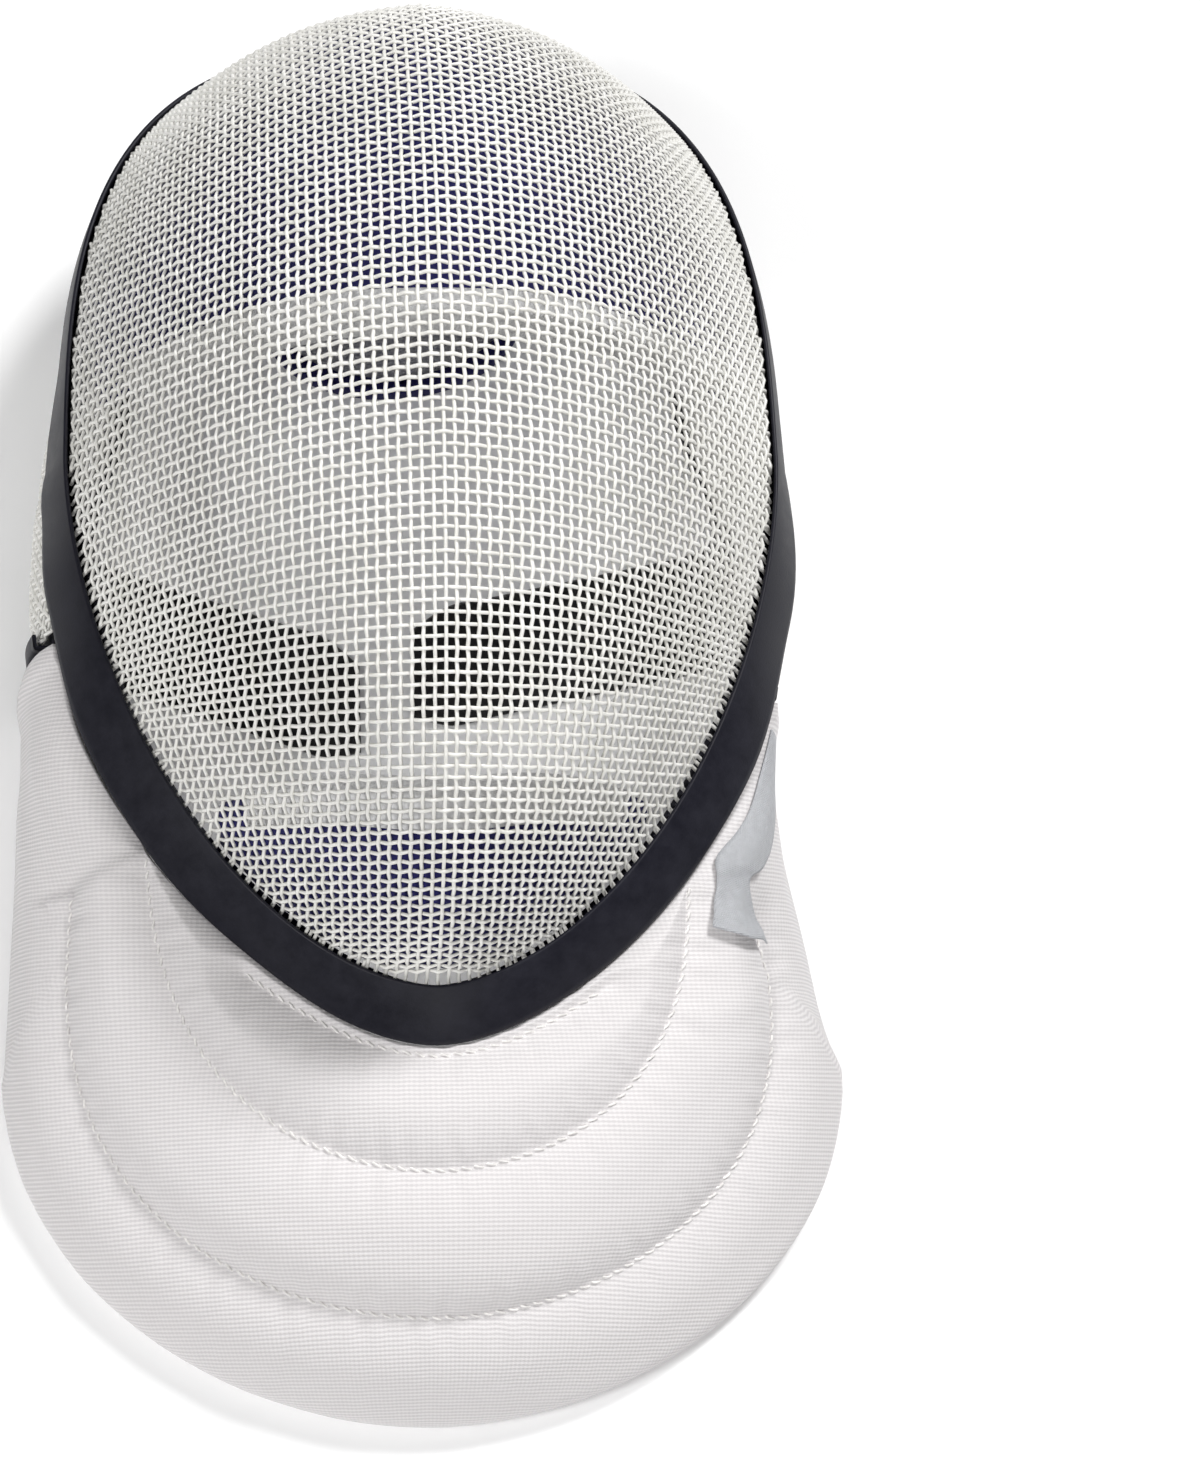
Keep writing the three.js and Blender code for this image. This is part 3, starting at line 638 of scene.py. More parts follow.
def brushed_material():
    graph = Graph("pad_navy", (0.012, 0.011, 0.11), 0.95, Sheen_Weight=0.05, Sheen_Roughness=0.6)
    nap = graph.noise(1500.0, 4.0, 0.65)
    graph.mottle_and_shade(nap, (0.008, 0.007, 0.085), (0.016, 0.015, 0.135))
    graph.bump(nap, 0.6, 0.5)
    return graph.material


def tape_material(name, colour, pitch, sheen=0.2, spread=0.15):
    graph = Graph(name, colour, 0.85, Sheen_Weight=sheen)
    across, along = graph.weave()
    ribs = graph.ripple(along, pitch)
    twill = graph.ripple(graph.math("ADD", across, along), pitch * 1.4)
    height = graph.total((ribs, 0.6), (twill, 0.4))
    dark = tuple((1.0 - spread) * c for c in colour)
    light = tuple(min(1.0, (1.0 + spread) * c) for c in colour)
    graph.mottle_and_shade(graph.noise(500.0, 3.0), dark, light)
    graph.bump(height, 0.7, 0.3)
    return graph.material


ENAMEL = enamel_material()
RUBBER = rubber_material()
KNIT = knit_material()
BRUSHED = brushed_material()
TAPE = tape_material("tape_grey", (0.70, 0.70, 0.71), 1.1)
TONGUE_CLOTH = tape_material("tongue_grey", (0.75, 0.75, 0.77), 1.0)
WEBBING = tape_material("strap_black", (0.012, 0.012, 0.013), 1.6, 0.4)
SATIN_TAPE = tape_material("label_tape", (0.50, 0.51, 0.535), 0.5, 0.1, 0.04)
THREAD = tape_material("thread_white", (0.84, 0.82, 0.80), 0.6)


# Face mesh: woven warps along the crease and wefts across it.

def bowl_point(x, phi, softness=0.0):
    """Outside of the face mesh by X and the angle along the crease, past the rim too."""
    reach = np.where(phi > 0, CROWN_REACH, CHIN_REACH)
    y = reach * np.sin(phi)
    share = np.abs(x) / rim_half_width(y)
    z = RIM_HEIGHT + BOWL_DEPTH * np.cos(phi) * (1.0 - wall_fall(share, softness))
    return np.stack([x, y, z], -1)


def bowl_slopes(x, phi, softness=0.0):
    step_x, step_phi = 0.01, 1e-4
    by_x = bowl_point(x + step_x, phi, softness) - bowl_point(x - step_x, phi, softness)
    by_phi = bowl_point(x, phi + step_phi, softness) - bowl_point(x, phi - step_phi, softness)
    return by_x / (2 * step_x), by_phi / (2 * step_phi)


def drawn_places(values, points, pitch, draw):
    """Values at each wire along a curve; on slopes the wires were drawn part of the way apart."""
    steps = np.diff(points, axis=0)
    real = np.linalg.norm(steps, axis=-1)
    level = np.maximum(np.linalg.norm(steps[:, :2], axis=-1), LEAST_LEVEL * real)
    drawn = real ** draw * level ** (1.0 - draw)
    length = np.concatenate([[0.0], np.cumsum(drawn)])
    return np.interp(np.arange(0.0, length[-1], pitch), length, values)


def crease_angles():
    """Angles where the wefts cross the crease, from the chin to the crown, and the first weft's number."""
    first = math.asin(FIRST_WEFT_Y / CROWN_REACH)
    runs = []
    for end, draw in ((-LAST_WEFT_ANGLE, CHIN_DRAW), (LAST_WEFT_ANGLE, CROWN_DRAW)):
        phis = np.linspace(first, math.radians(end), CREASE_SAMPLES)
        runs.append(drawn_places(phis, bowl_point(np.zeros_like(phis), phis), WEFT_PITCH, draw))
    return np.concatenate([runs[0][:0:-1], runs[1]]), len(runs[0]) - 1


def weft_curves(crease, xs):
    """Crease angle along each weft at the given X; every weft's plane leans towards the crown."""
    start = bowl_point(np.zeros_like(crease), crease)
    lean = np.interp(start[:, 1], *zip(*WEFT_LEANS))
    phi = np.full((len(xs), len(crease)), np.nan)
    phi[0] = crease
    for i in range(1, len(xs)):
        x, at = np.full_like(crease, xs[i]), phi[i - 1].copy()
        for _ in range(SOLVER_STEPS):
            here = bowl_point(x, at)
            _, by_phi = bowl_slopes(x, at)
            miss = here[:, 1] - start[:, 1] + lean * (here[:, 2] - start[:, 2])
            slope = by_phi[:, 1] + lean * by_phi[:, 2]
            at = at - np.clip(miss / np.maximum(slope, 5.0), -0.03, 0.03)
        good = (np.abs(miss) < 0.2) & (here[:, 2] > RIM_HEIGHT - NET_DEPTH)
        phi[i] = np.where(good, at, np.nan)
    return phi


def net_nodes():
    """Wire crossings of the face mesh's right half and their normals, from the chin to the crown."""
    crease, first = crease_angles()
    xs = np.linspace(0.0, NET_SPREAD * HALF_WIDTH, WEFT_SAMPLES)
    curves = weft_curves(crease, xs)
    x = np.full((MOST_WARPS, len(crease)), np.nan)
    phi = np.full_like(x, np.nan)
    for j in range(len(crease)):
        count = int(np.argmin(np.isfinite(curves[:, j]))) or len(xs)
        if count < 3:
            continue
        run = curves[:count, j]
        places = drawn_places(xs[:count], bowl_point(xs[:count], run), WARP_PITCH, WARP_DRAW)
        x[:len(places), j] = places
        phi[:len(places), j] = np.interp(places, xs[:count], run)
    x = x[np.isfinite(x).any(axis=1)]
    phi = phi[:len(x)]
    by_x, by_phi = bowl_slopes(x, phi, 0.05)
    normal = unit(np.cross(by_x, by_phi))
    normal = np.where(normal[..., 2:] < -0.3, -normal, normal)
    points = bowl_point(x, phi) - normal * (MESH_THICKNESS / 2)
    return points, normal, first


def tucked(*runs):
    """Points, normals and signs of crossings cut off at the rim and turned into the flange under the trim."""
    known = np.append(np.isfinite(runs[0][:, 0]), False)
    points, normals, signs = (run[:np.argmin(known)] for run in runs)
    count = np.argmin(np.append(points[:, 2] > RIM_HEIGHT - MESH_THICKNESS / 2, False))
    if count == 0:
        return None
    if count == len(points):
        if count < 2 or points[-1, 2] > RIM_HEIGHT + LAST_REACH:
            return points, normals, signs
        points = np.concatenate([points, [lerp(points[-2], points[-1], LEAD_ON)]])
        normals = np.concatenate([normals, normals[-1:]])
        signs = np.concatenate([signs, -signs[-1:]])
    low, high = points[count - 1], points[count]
    share = np.clip((low[2] - RIM_HEIGHT) / max(low[2] - high[2], 1e-6), 0.1, 0.9)
    edge = lerp(low, high, share)
    _, along, up = (row[0] for row in rim_station(rim_angle(edge[1:2])))
    points = np.concatenate([points[:count], [edge, edge + along * TUCK_LENGTH]])
    normals = np.concatenate([normals[:count], [normals[count], up]])
    signs = np.concatenate([signs[:count], [lerp(signs[count - 1], signs[count], share), 0.0]])
    return points, normals, signs


def crimped(points, normals, signs):
    """A wire's path through its crossings, over and under in turn."""
    at = np.arange((len(points) - 1) * WIRE_STEPS + 1) / WIRE_STEPS
    low = np.minimum(at.astype(int), len(points) - 2)
    share = (at - low)[:, None]
    place = lerp(points[low], points[low + 1], share)
    way = unit(lerp(normals[low], normals[low + 1], share))
    lift = lerp(signs[low, None], signs[low + 1, None], (1.0 - np.cos(np.pi * share)) / 2.0)
    return place + way * (WIRE_CRIMP * lift), way


def mirrored_join(half):
    """A wire over the crease from its right half."""
    return [np.concatenate([run[:0:-1] * way, run]) for run, way in zip(half, (MIRROR, MIRROR, 1.0))]


def over_under(rows, columns):
    """1 or -1 in turn, for the wire that lies on top at each crossing."""
    return np.where((np.arange(rows)[:, None] + np.arange(columns)) % 2 == 0, 1.0, -1.0)


def build_face_mesh():
    points, normals, first = net_nodes()
    rows, columns = points.shape[:2]
    over = over_under(rows, columns)
    wires = {"warps_left": [], "warps_right": [], "wefts_chin": [], "wefts_crown": []}
    for j in range(columns):
        half = tucked(points[:, j], normals[:, j], over[:, j])
        if half is None or len(half[0]) < 2:
            continue
        wires["wefts_chin" if j < first else "wefts_crown"].append(crimped(*mirrored_join(half)))
    for i in range(rows):
        inside = np.flatnonzero(points[i, :, 2] > RIM_HEIGHT)
        if len(inside) < 2:
            continue
        mid = inside[len(inside) // 2]
        up_run = tucked(points[i, mid:], normals[i, mid:], -over[i, mid:])
        down_run = tucked(points[i, mid::-1], normals[i, mid::-1], -over[i, mid::-1])
        run = [np.concatenate([down[:0:-1], up]) for down, up in zip(down_run, up_run)]
        if len(run[0]) < 3:
            continue
        path, way = crimped(*run)
        wires["warps_right"].append((path, way))
        if i > 0:
            wires["warps_left"].append((path * MIRROR, way * MIRROR))
    for kind, paths in wires.items():
        shape = tubes(paths, WIRE_RADIUS, WIRE_SIDES)
        add_piece(f"face_{kind}", shape, ENAMEL, "front_mesh")


# Trim and side plates.

def build_trim():
    angles = -np.pi / 2 + 2.0 * np.pi * np.arange(TRIM_STATIONS) / TRIM_STATIONS
    origin, along, up = rim_station(angles)
    origin = origin + along * FLANGE_LENGTH - up * (MESH_THICKNESS / 2)
    shape = sweep(origin, along, up, rounded_outline(TRIM_SECTION), loop=True)
    add_piece("trim_channel", shape, RUBBER, "front_trim")


def plate_height(plate, ys):
    return np.mean(plate_point(plate, ys, 0.0)[:, 2]) - PLATE_EDGE_HEIGHT


def plate_lift(plate, y):
    """How far the round corners lift a plate's lower edge."""
    inset = np.minimum(y - plate["start_y"], PLATE_END_Y - y)
    inset = np.clip(inset, 0.0, PLATE_CORNER)
    return PLATE_CORNER * (1.0 - np.sqrt(1.0 - (1.0 - inset / PLATE_CORNER) ** 2))


def build_side_plate(name, plate):
    ys = np.arange(plate["start_y"] + 1.2, PLATE_END_Y - 0.8, PLATE_PITCH)
    height = plate_height(plate, ys)
    shares = np.arange(0.0, 1.0, PLATE_PITCH / height)
    points = plate_point(plate, ys[:, None], shares)
    normals = plate_normal(plate, ys[:, None], shares)
    over = over_under(len(ys), len(shares))
    kept = shares <= 1.0 - (plate_lift(plate, ys)[:, None] + 0.5) / height
    paths = []
    for i, run in enumerate(kept):
        paths.append(crimped(points[i][run], normals[i][run], over[i][run]))
    for j, run in enumerate(kept.T):
        if run.sum() > 2:
            paths.append(crimped(points[run, j], normals[run, j], -over[run, j]))
    shape = tubes(paths, WIRE_RADIUS, WIRE_SIDES)
    add_piece(f"side_wires_{name}", shape, ENAMEL, f"side_mesh_{name}")


def build_side_edging(name, plate):
    start, end = plate["start_y"], PLATE_END_Y
    height = plate_height(plate, np.linspace(start, end, 20))
    turn = np.linspace(0.0, np.pi / 2, 9)
    side = np.linspace(EDGING_FIRST_SHARE, 1.0 - PLATE_CORNER / height, 15)[:-1]
    inset = np.concatenate([np.zeros_like(side), PLATE_CORNER * (1 - np.cos(turn))])
    drop = np.concatenate([side, 1 - PLATE_CORNER * (1 - np.sin(turn)) / height])
    foot = np.linspace(start + PLATE_CORNER, end - PLATE_CORNER, 40)[1:-1]
    ys = np.concatenate([start + inset, foot, (end - inset)[::-1]])
    shares = np.concatenate([drop, np.ones_like(foot), drop[::-1]])
    points = plate_point(plate, ys, shares)
    normals = plate_normal(plate, ys, shares)
    along = edge_way(points, normals, points.mean(axis=0))
    points, quads = sweep(points, along, normals, rounded_outline(EDGING_SECTION))
    shape = np.maximum(points, LOWEST), quads
    add_piece(f"edging_{name}", shape, RUBBER, f"side_edging_{name}")


# Inner pads.

def binding_section(lip):
    return rounded_outline([
        (-lip, -6.2, 0.5), (1.8, -6.2, 1.4), (1.8, 6.2, 1.4), (-lip, 6.2, 0.5),
        (-lip, 5.1, 0.3), (0.3, 5.0, 0.3), (0.3, -5.0, 0.3), (-lip, -5.1, 0.3),
    ])


def edge_rounding(distance, radius):
    share = np.clip(distance / radius, 0.0, 1.0)
    return np.sqrt(np.maximum(1.0 - (1.0 - share) ** 2, 0.0))


def cloth_lengths(points):
    """Lengths across and along a grid of points, for its weave."""
    across = run_length(np.swapaxes(points, 0, 1)).T
    across = across - across[:, across.shape[1] // 2, None]
    return np.stack([across, run_length(points)], -1)


def wall_piece(name, middle, normals, out_half, in_half, material, node, weave=None):
    """A piece with a wall of cloth round its middle grid, kept above the table."""
    outer = np.maximum(middle + normals * out_half[..., None], LOWEST)
    inner = np.maximum(middle - normals * in_half[..., None], LOWEST)
    if weave is None:
        weave = cloth_lengths(middle)
    weave = np.tile(weave.reshape(-1, 2), (2, 1))
    return add_piece(name, closed_wall(outer, inner), material, node, weave)


def build_pad(name, pad):
    across, along = ((1.0 - np.cos(np.linspace(0.0, np.pi, n))) / 2.0 for n in (PAD_COLUMNS, PAD_ROWS))
    middle, normals = pad_point(pad, across, along[:, None])
    weave = cloth_lengths(middle)
    side = np.minimum(weave[..., 0] - weave[:, :1, 0], weave[:, -1:, 0] - weave[..., 0])
    end = np.minimum(weave[..., 1], weave[-1:, :, 1] - weave[..., 1])
    round_off = edge_rounding(np.minimum(side, end), PAD_ROUNDING)
    half = np.maximum(PAD_THICKNESS / 2 * round_off, PAD_EDGE_HALF)
    cushion = f"{name}_cushion"
    piece = wall_piece(cushion, middle, normals, half, half, BRUSHED, f"{name}_pad", weave)


def build_binding(name, pad):
    across = np.linspace(1.0 / 18.0, 17.0 / 18.0, 110)
    origin, normals = pad_point(pad, across, 0.0)
    inside, _ = pad_point(pad, across, pad["lip_share"])
    tangent = unit(np.gradient(origin, axis=0))
    along = unit(origin - inside)
    along = unit(along - tangent * np.sum(along * tangent, -1, keepdims=True))
    up = np.cross(along, tangent)
    up = np.where(np.sum(up * normals, -1, keepdims=True) < 0, -up, up)
    section = binding_section(pad["lip"])
    shape = sweep(origin, along, up, section)
    run, edge = run_length(origin), run_length(section)
    weave = np.stack(np.broadcast_arrays(edge, run[:, None]), -1).reshape(-1, 2)
    piece = add_piece(f"{name}_tape", shape, TAPE, f"{name}_binding", weave)


# Tongue.

def smooth_path(points, count):
    """Points along a smooth curve through a few given ones, evenly spaced."""
    given = np.asarray(points, float)
    padded = np.concatenate([[2 * given[0] - given[1]], given, [2 * given[-1] - given[-2]]])
    fine = []
    for k in range(len(given) - 1):
        a, b, c, d = padded[k:k + 4]
        s = np.linspace(0.0, 1.0, 60, endpoint=False)[:, None]
        bend, twist = 2 * a - 5 * b + 4 * c - d, 3 * b - a - 3 * c + d
        fine.append(0.5 * (2 * b + (c - a) * s + bend * s ** 2 + twist * s ** 3))
    fine = np.concatenate([*fine, given[-1:]])
    length = run_length(fine)
    at = np.linspace(0.0, length[-1], count)
    return np.stack([np.interp(at, length, column) for column in fine.T], -1), at


def tongue_grid(rows, columns):
    path, length = smooth_path(TONGUE_PATH, 200)
    eased = np.sin(np.pi / 2 * np.linspace(0.0, 1.0, rows))
    at = eased * length[-1]
    y, z = np.interp(at, length, path[:, 0]), np.interp(at, length, path[:, 1])
    past = np.maximum(0.0, at - (length[-1] - TONGUE_TIP)) / TONGUE_TIP
    tip = np.maximum(TONGUE_END_SHARE, np.sqrt(np.maximum(0.0, 1.0 - past ** 2)))
    half = lerp(TONGUE_ROOT_HALF, TONGUE_HALF, eased) * tip
    across = np.linspace(-1.0, 1.0, columns)
    x = half[:, None] * across + (TONGUE_DRIFT * (at / length[-1]) ** 2)[:, None]
    points = np.stack(np.broadcast_arrays(x, y[:, None], z[:, None]), -1)
    normals = unit(np.stack([np.zeros_like(y), np.gradient(z), -np.gradient(y)], -1))
    return points, np.broadcast_to(normals[:, None], points.shape)


def build_tongue():
    points, normals = tongue_grid(70, 25)
    half = np.full(points.shape[:2], TONGUE_THICKNESS / 2)
    cloth = wall_piece(
        "tongue_cloth", points, normals, half, half, TONGUE_CLOTH, "tongue_panel",
    )
    edge, way = (np.concatenate([g[:, 0], g[-1, 1:-1], g[::-1, -1]]) for g in (points, normals))
    along = edge_way(edge, way, points.reshape(-1, 3).mean(axis=0))
    rim, quads = sweep(edge, along, way, rounded_outline(TONGUE_RIM_SECTION))
    add_piece("tongue_edge", (np.maximum(rim, LOWEST), quads), BRUSHED, "tongue_rim")


# Straps.

def build_strap(name, strap, plate):
    """A strap that lies on the table from its inner end and climbs the side plate."""
    side = plate["side"]
    climb, gaps = STRAP_CLIMB.T
    turn_x = abs(plate_point(plate, strap["outer_y"], climb[0])[0]) - gaps[0] - STRAP_BEND
    flat_x = np.linspace(strap["inner"], turn_x, 60)
    offset = (np.linspace(0.0, 1.0, STRAP_COLUMNS) - 0.5) * STRAP_WIDTH
    share = lerp(STRAP_END_SHARE, 1.0, edge_rounding(flat_x - strap["inner"], STRAP_CORNER))
    run = (flat_x - strap["inner"]) / (turn_x - strap["inner"])
    flat_y = lerp(strap["inner_y"], strap["outer_y"], run)[:, None] + offset * share[:, None]
    flat = np.stack(np.broadcast_arrays(side * flat_x[:, None], flat_y, 0.0), -1)
    rise = plate_point(plate, strap["outer_y"] + offset, climb[:, None])
    rise[..., 0] -= side * gaps[:, None]
    knots = np.concatenate([flat[:-3:8], flat[-4:-3], rise])
    under = np.stack([smooth_path(knots[:, k], STRAP_ROWS)[0] for k in range(STRAP_COLUMNS)], 1)
    normals = surface_normals(under)
    edge = steps_in(STRAP_COLUMNS) * STRAP_WIDTH / STRAP_COLUMNS
    half = STRAP_THICKNESS / 2 * np.maximum(edge_rounding(edge, STRAP_ROUNDING), STRAP_EDGE_SHARE)
    half = np.tile(half, (STRAP_ROWS, 1))
    middle = under + normals * (STRAP_THICKNESS / 2)
    webbing = f"webbing_{name}"
    piece = wall_piece(webbing, middle, normals, half, half, WEBBING, f"strap_{name}")


# Bib.

def bib_grid():
    t = np.linspace(-1.0, 1.0, BIB_COLUMNS)
    fall = 1.0 - np.cos(np.pi * np.linspace(0.0, BIB_ROW_EASE, BIB_ROWS))
    fall = fall / fall[-1]
    middle = bib_point(t, fall[:, None])
    return t, fall, middle, surface_normals(middle)


def quilt_path(line, count=360):
    t = np.linspace(-line["reach"], line["reach"], count)
    share = np.minimum(1.0, np.abs(t) / line["reach"])
    return t, np.maximum(line["centre"] - line["fall"] * share ** line["power"], 0.0)


def nearest(points, path):
    """Distance from each point to a path, and how far along the path the nearest place is."""
    run = run_length(path)
    flat = points.reshape(-1, 3)
    distance, at = np.empty(len(flat)), np.empty(len(flat))
    for block in np.array_split(np.arange(len(flat)), 40):
        apart = np.linalg.norm(flat[block, None] - path[None], axis=-1)
        best = apart.argmin(axis=1)
        distance[block] = apart[np.arange(len(block)), best]
        at[block] = run[best]
    return distance.reshape(points.shape[:2]), at.reshape(points.shape[:2])


def lobe(distance, reach):
    return 1.0 - (1.0 - np.clip(distance / reach, 0.0, 1.0)) ** 2


def straight_path(start, end, count=60):
    share = np.linspace(0.0, 1.0, count)
    return bib_point(lerp(start[0], end[0], share), lerp(start[1], end[1], share))


def bib_relief(t, middle):
    """Puff of the padding between its seams, from 0 to 1, and the folds and puckers in millimetres."""
    puff = np.ones(middle.shape[:2])
    folds = np.zeros(middle.shape[:2])
    for line in QUILT_LINES:
        distance, at = nearest(middle, bib_point(*quilt_path(line)))
        puff = np.minimum(puff, lobe(distance, LOBE_REACH))
        short, long = (2.0 * np.pi * at / length for length in PUCKER_LENGTHS)
        wave = np.sin(short) + 0.7 * np.sin(long + 1.7)
        near = np.clip(distance / PUCKER_REACH, 0.0, 1.0)
        folds += PUCKER_HEIGHT * wave * 4.0 * near * (1.0 - near) ** 2
    for edge in (middle[0], middle[-1]):
        puff = np.minimum(puff, lobe(nearest(middle, edge)[0], EDGE_REACH))
    for start, end, height, width in BIB_FOLDS:
        distance, at = nearest(middle, straight_path(start, end))
        folds += height * np.sin(np.pi * at / at.max()) * np.exp(-(distance / width) ** 2)
    seam = straight_path(PANEL_SEAM["start"], PANEL_SEAM["end"])
    distance, _ = nearest(middle, seam)
    beyond = middle[..., 1] > np.interp(middle[..., 0], seam[::-1, 0], seam[::-1, 1])
    fade = np.maximum(0.0, 1.0 - distance / PANEL_SEAM["reach"]) ** 1.5
    past = np.where((t < -0.5) & beyond, distance, -distance)
    step = lerp(0.35, -1.0, smoothstep(past, -PANEL_SEAM["turn"], PANEL_SEAM["turn"]))
    folds += PANEL_SEAM["step"] * step * fade
    hem = 1.0 - smoothstep(1.0 - np.abs(t), 0.8 * HEM_WIDTH, HEM_WIDTH)
    folds += HEM_RISE * hem
    x, y = middle[..., 0], middle[..., 1]
    sway = np.sin(x / 9.0 + 0.7 * np.sin(y / 13.0)) * np.sin(y / 11.0 + 1.3)
    sway = sway + 0.6 * np.sin(x / 5.1 - y / 7.3)
    return puff, folds + SWAY_HEIGHT * sway * puff


def cloth_grain(points, normals):
    """Lengths across and along a cloth whose threads run straight, in millimetres."""
    down = unit(GRAIN_WAY - normals * np.sum(normals * GRAIN_WAY, -1, keepdims=True))
    across = np.cross(normals, down)
    row = len(points) // 2
    grain = []
    for way in (across, down):
        sideways = np.sum(np.diff(points, axis=1) * (way[:, 1:] + way[:, :-1]) / 2.0, -1)
        downward = np.sum(np.diff(points, axis=0) * (way[1:] + way[:-1]) / 2.0, -1)
        base = np.concatenate([[0.0], np.cumsum(sideways[row])])
        drop = np.concatenate([np.zeros((1, points.shape[1])), np.cumsum(downward, axis=0)])
        grain.append(base + drop - drop[row])
    return np.stack(grain, -1)


def on_bib(bib, t, fall):
    """Points of the bib's outside and its normals there, found between the corners of its grid."""
    t_axis, fall_axis, *grids = bib
    column = np.interp(t, t_axis, np.arange(len(t_axis)))
    row = np.interp(fall, fall_axis, np.arange(len(fall_axis)))
    i = np.minimum(row.astype(int), len(fall_axis) - 2)
    j = np.minimum(column.astype(int), len(t_axis) - 2)
    a, b = (row - i)[..., None], (column - j)[..., None]
    return [lerp(lerp(g[i, j], g[i, j + 1], b), lerp(g[i + 1, j], g[i + 1, j + 1], b), a) for g in grids]


def stitch_paths(line, bib):
    """Short slanted threads along a quilt line."""
    t, fall = quilt_path(line, 1200)
    shown = fall > 0.004
    t, fall = t[shown], fall[shown]
    run = run_length(on_bib(bib, t, fall)[0])
    along, lift = STITCH_PROFILE.T[..., None]
    paths = []
    for start in np.arange(STITCH_PITCH / 2, run[-1] - STITCH_PITCH / 2, STITCH_PITCH):
        at = start + along[:, 0] * STITCH_LENGTH / 2
        points, way = on_bib(bib, np.interp(at, run, t), np.interp(at, run, fall))
        way = unit(way)
        side = unit(np.cross(np.gradient(points, axis=0), way))
        paths.append((points + side * (STITCH_SLANT * along) + way * lift, way))
    return paths


def build_bib():
    t, fall, middle, normals = bib_grid()
    puff, folds = bib_relief(t, middle)
    wing = smoothstep(np.abs(t), BIB_WING_START, 1.0)
    out_half = BIB_SKIN + lerp(BIB_PUFF, wing_size(t, "puff"), wing) * puff
    in_half = BIB_SKIN + BIB_BACK_PUFF * puff
    out_half = out_half * np.maximum(edge_rounding(steps_in(BIB_COLUMNS), BIB_END_STEPS), BIB_END_SHARE)
    middle = middle + normals * folds[..., None]
    grain = cloth_grain(middle, normals)
    piece = wall_piece("bib_quilt", middle, normals, out_half, in_half, KNIT, "bib", grain)
    bib = t, fall, middle + normals * out_half[..., None], normals
    paths = []
    for line in QUILT_LINES:
        paths += stitch_paths(line, bib)
    add_piece("bib_stitches", tubes(paths, STITCH_RADIUS, STITCH_SIDES), THREAD, "bib")
    return bib


def build_label(bib):
    columns, rows = 13, 60
    edges = []
    for side in (0, 1):
        places = np.array([(*row[side], row[2]) for row in LABEL_ROWS])
        edges.append(smooth_path(places, rows)[0])
    share = np.linspace(0.0, 1.0, columns)[None, :, None]
    place = lerp(edges[0][:, None], edges[1][:, None], share)
    point, way = on_bib(bib, place[..., 0], place[..., 1])
    curl = LABEL_CURL * np.sin(np.pi * share[..., 0]) * np.sin(np.linspace(0.0, 7.0, rows))[:, None]
    point = point + unit(way) * (place[..., 2] + curl)[..., None]
    normal = surface_normals(point)
    half = np.full(point.shape[:2], LABEL_HALF)
    piece = wall_piece("label_tape", point, normal, half, half, SATIN_TAPE, "label")


# Stage.

def build_stage():
    glow = {"Emission_Strength": TABLE_GLOW, "Emission_Color": (1.0, 1.0, 1.0, 1.0)}
    graph = Graph("table_white", (0.94, 0.94, 0.94), 0.7, **glow)
    graph.roughness(graph.noise(6.0), 0.6, 0.8)
    mesh = bpy.data.meshes.new("table")
    corners = np.array([(-1, -1, 0), (1, -1, 0), (1, 1, 0), (-1, 1, 0)]) * TABLE_REACH
    mesh.from_pydata(corners.tolist(), [], [(0, 1, 2, 3)])
    mesh.materials.append(graph.material)
    table = bpy.data.objects.new("table", mesh)
    table.location.z = -TABLE_DROP
    bpy.context.scene.collection.objects.link(table)


def stand(thing, right, up, back, place):
    """Puts a lamp or the camera at a place, looking away from its back."""
    rows = np.stack([right, up, back, place], -1).tolist()
    thing.matrix_world = Matrix([*rows, [0.0, 0.0, 0.0, 1.0]])
    bpy.context.scene.collection.objects.link(thing)


def add_area_light(name, place, size, power):
    light = bpy.data.lights.new(name, "AREA")
    light.size = size
    light.energy = power
    back = unit(np.array(place) - np.array(LIGHT_AIM))
    right = unit(np.cross([0.0, 0.0, 1.0], back))
    stand(bpy.data.objects.new(name, light), right, np.cross(back, right), back, place)


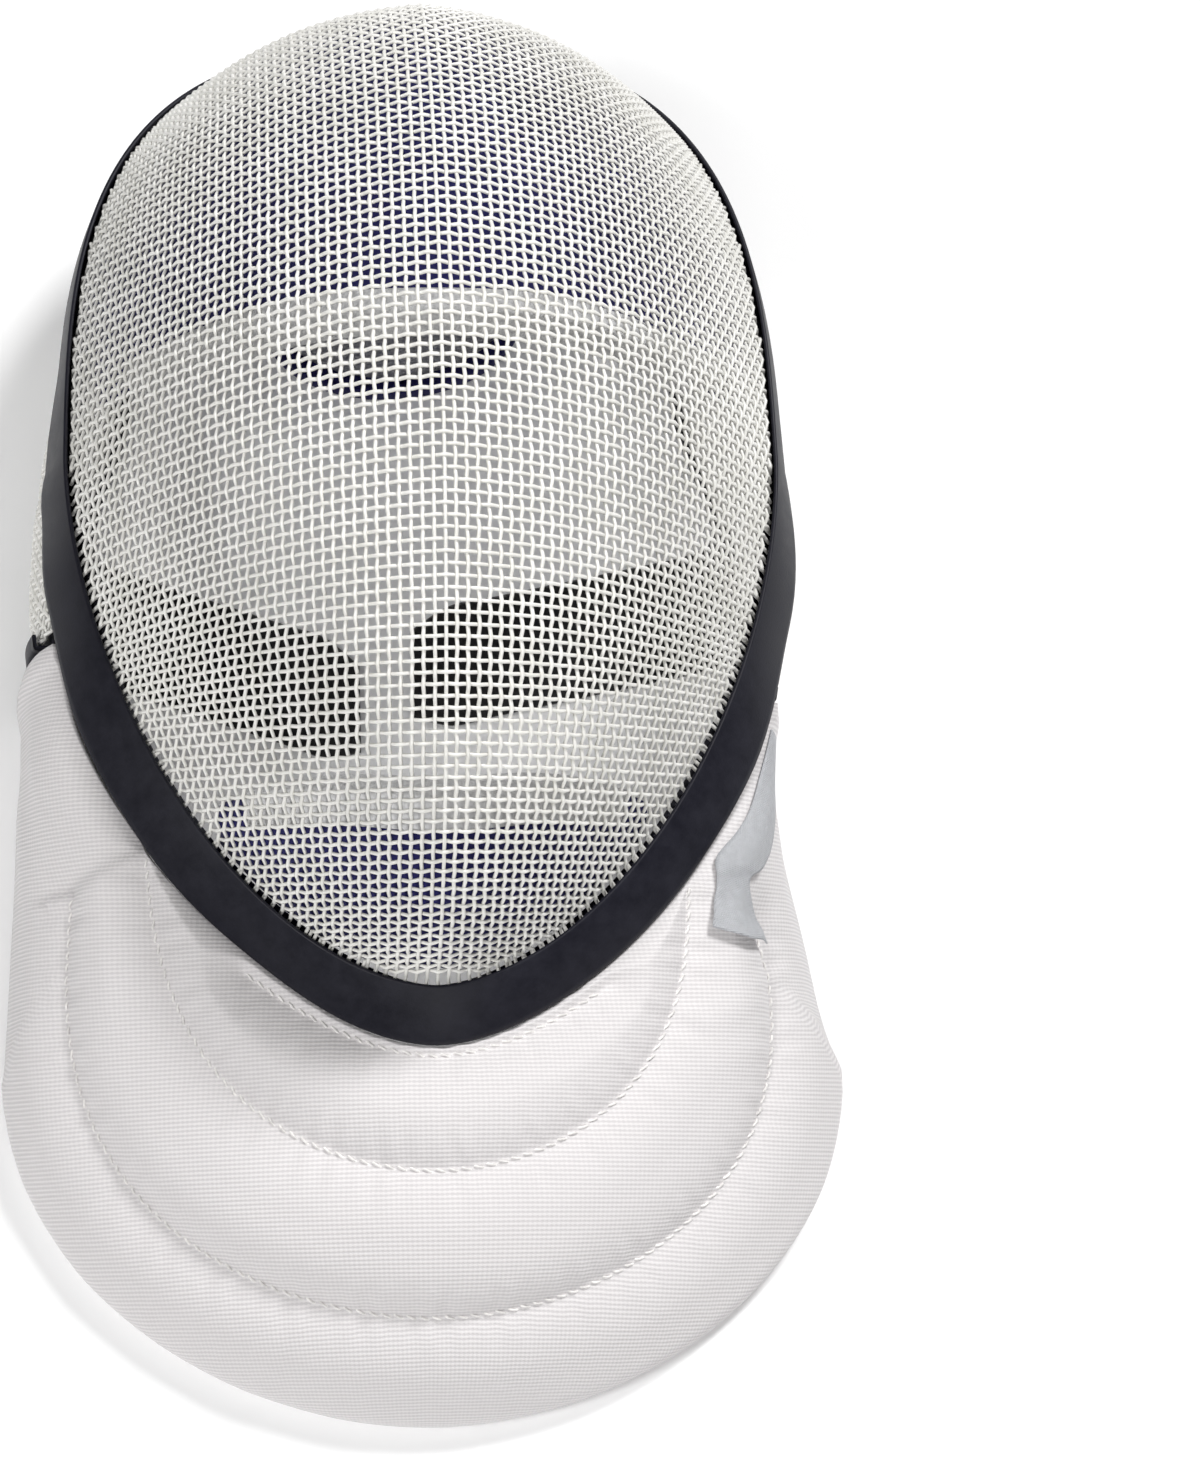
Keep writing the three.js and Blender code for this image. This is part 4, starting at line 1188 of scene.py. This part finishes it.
def build_lights():
    world = bpy.data.worlds.new("studio")
    world.use_nodes = True
    background = world.node_tree.nodes["Background"]
    background.inputs["Color"].default_value = (1.0, 1.0, 1.0, 1.0)
    background.inputs["Strength"].default_value = WORLD_LIGHT
    bpy.context.scene.world = world
    for name, light in LIGHTS.items():
        add_area_light(name, *light)
    bpy.context.scene.view_settings.view_transform = "Standard"


def build_camera():
    turn, height, roll = (math.radians(a) for a in (CAMERA_TURN, CAMERA_HEIGHT, CAMERA_ROLL))
    flat = math.cos(height)
    ahead = np.array([math.sin(turn) * flat, math.cos(turn) * flat, -math.sin(height)])
    level = unit(np.cross(ahead, [0.0, 0.0, 1.0]))
    upright = np.cross(level, ahead)
    right = math.cos(roll) * level + math.sin(roll) * upright
    up = -math.sin(roll) * level + math.cos(roll) * upright
    place = CAMERA_AIM - ahead * CAMERA_DISTANCE
    off_x = (PHOTO_SIZE[0] / 2 - CAMERA_AIM_PIXEL[0]) / CAMERA_FOCAL_PIXELS
    off_y = (PHOTO_SIZE[1] / 2 - CAMERA_AIM_PIXEL[1]) / CAMERA_FOCAL_PIXELS
    ahead = unit(ahead + right * off_x - up * off_y)
    right = unit(right - ahead * np.dot(right, ahead))
    up = np.cross(right, ahead)
    place = (place + ROW_SHIFT) * MM
    data = bpy.data.cameras.new("camera")
    data.sensor_fit = "HORIZONTAL"
    data.sensor_width = SENSOR_WIDTH
    data.lens = SENSOR_WIDTH * CAMERA_FOCAL_PIXELS / PHOTO_SIZE[0]
    data.clip_end = 50.0
    camera = bpy.data.objects.new("camera", data)
    stand(camera, right, up, -ahead, place)
    bpy.context.scene.camera = camera


build_camera()
build_stage()
build_lights()
build_face_mesh()
build_trim()
for plate_name, plate_sizes in PLATES.items():
    build_side_plate(plate_name, plate_sizes)
    build_side_edging(plate_name, plate_sizes)
    build_strap(plate_name, STRAPS[plate_name], plate_sizes)
for pad_name, pad_sizes in PADS.items():
    build_pad(pad_name, pad_sizes)
    build_binding(pad_name, pad_sizes)
build_tongue()
build_label(build_bib())
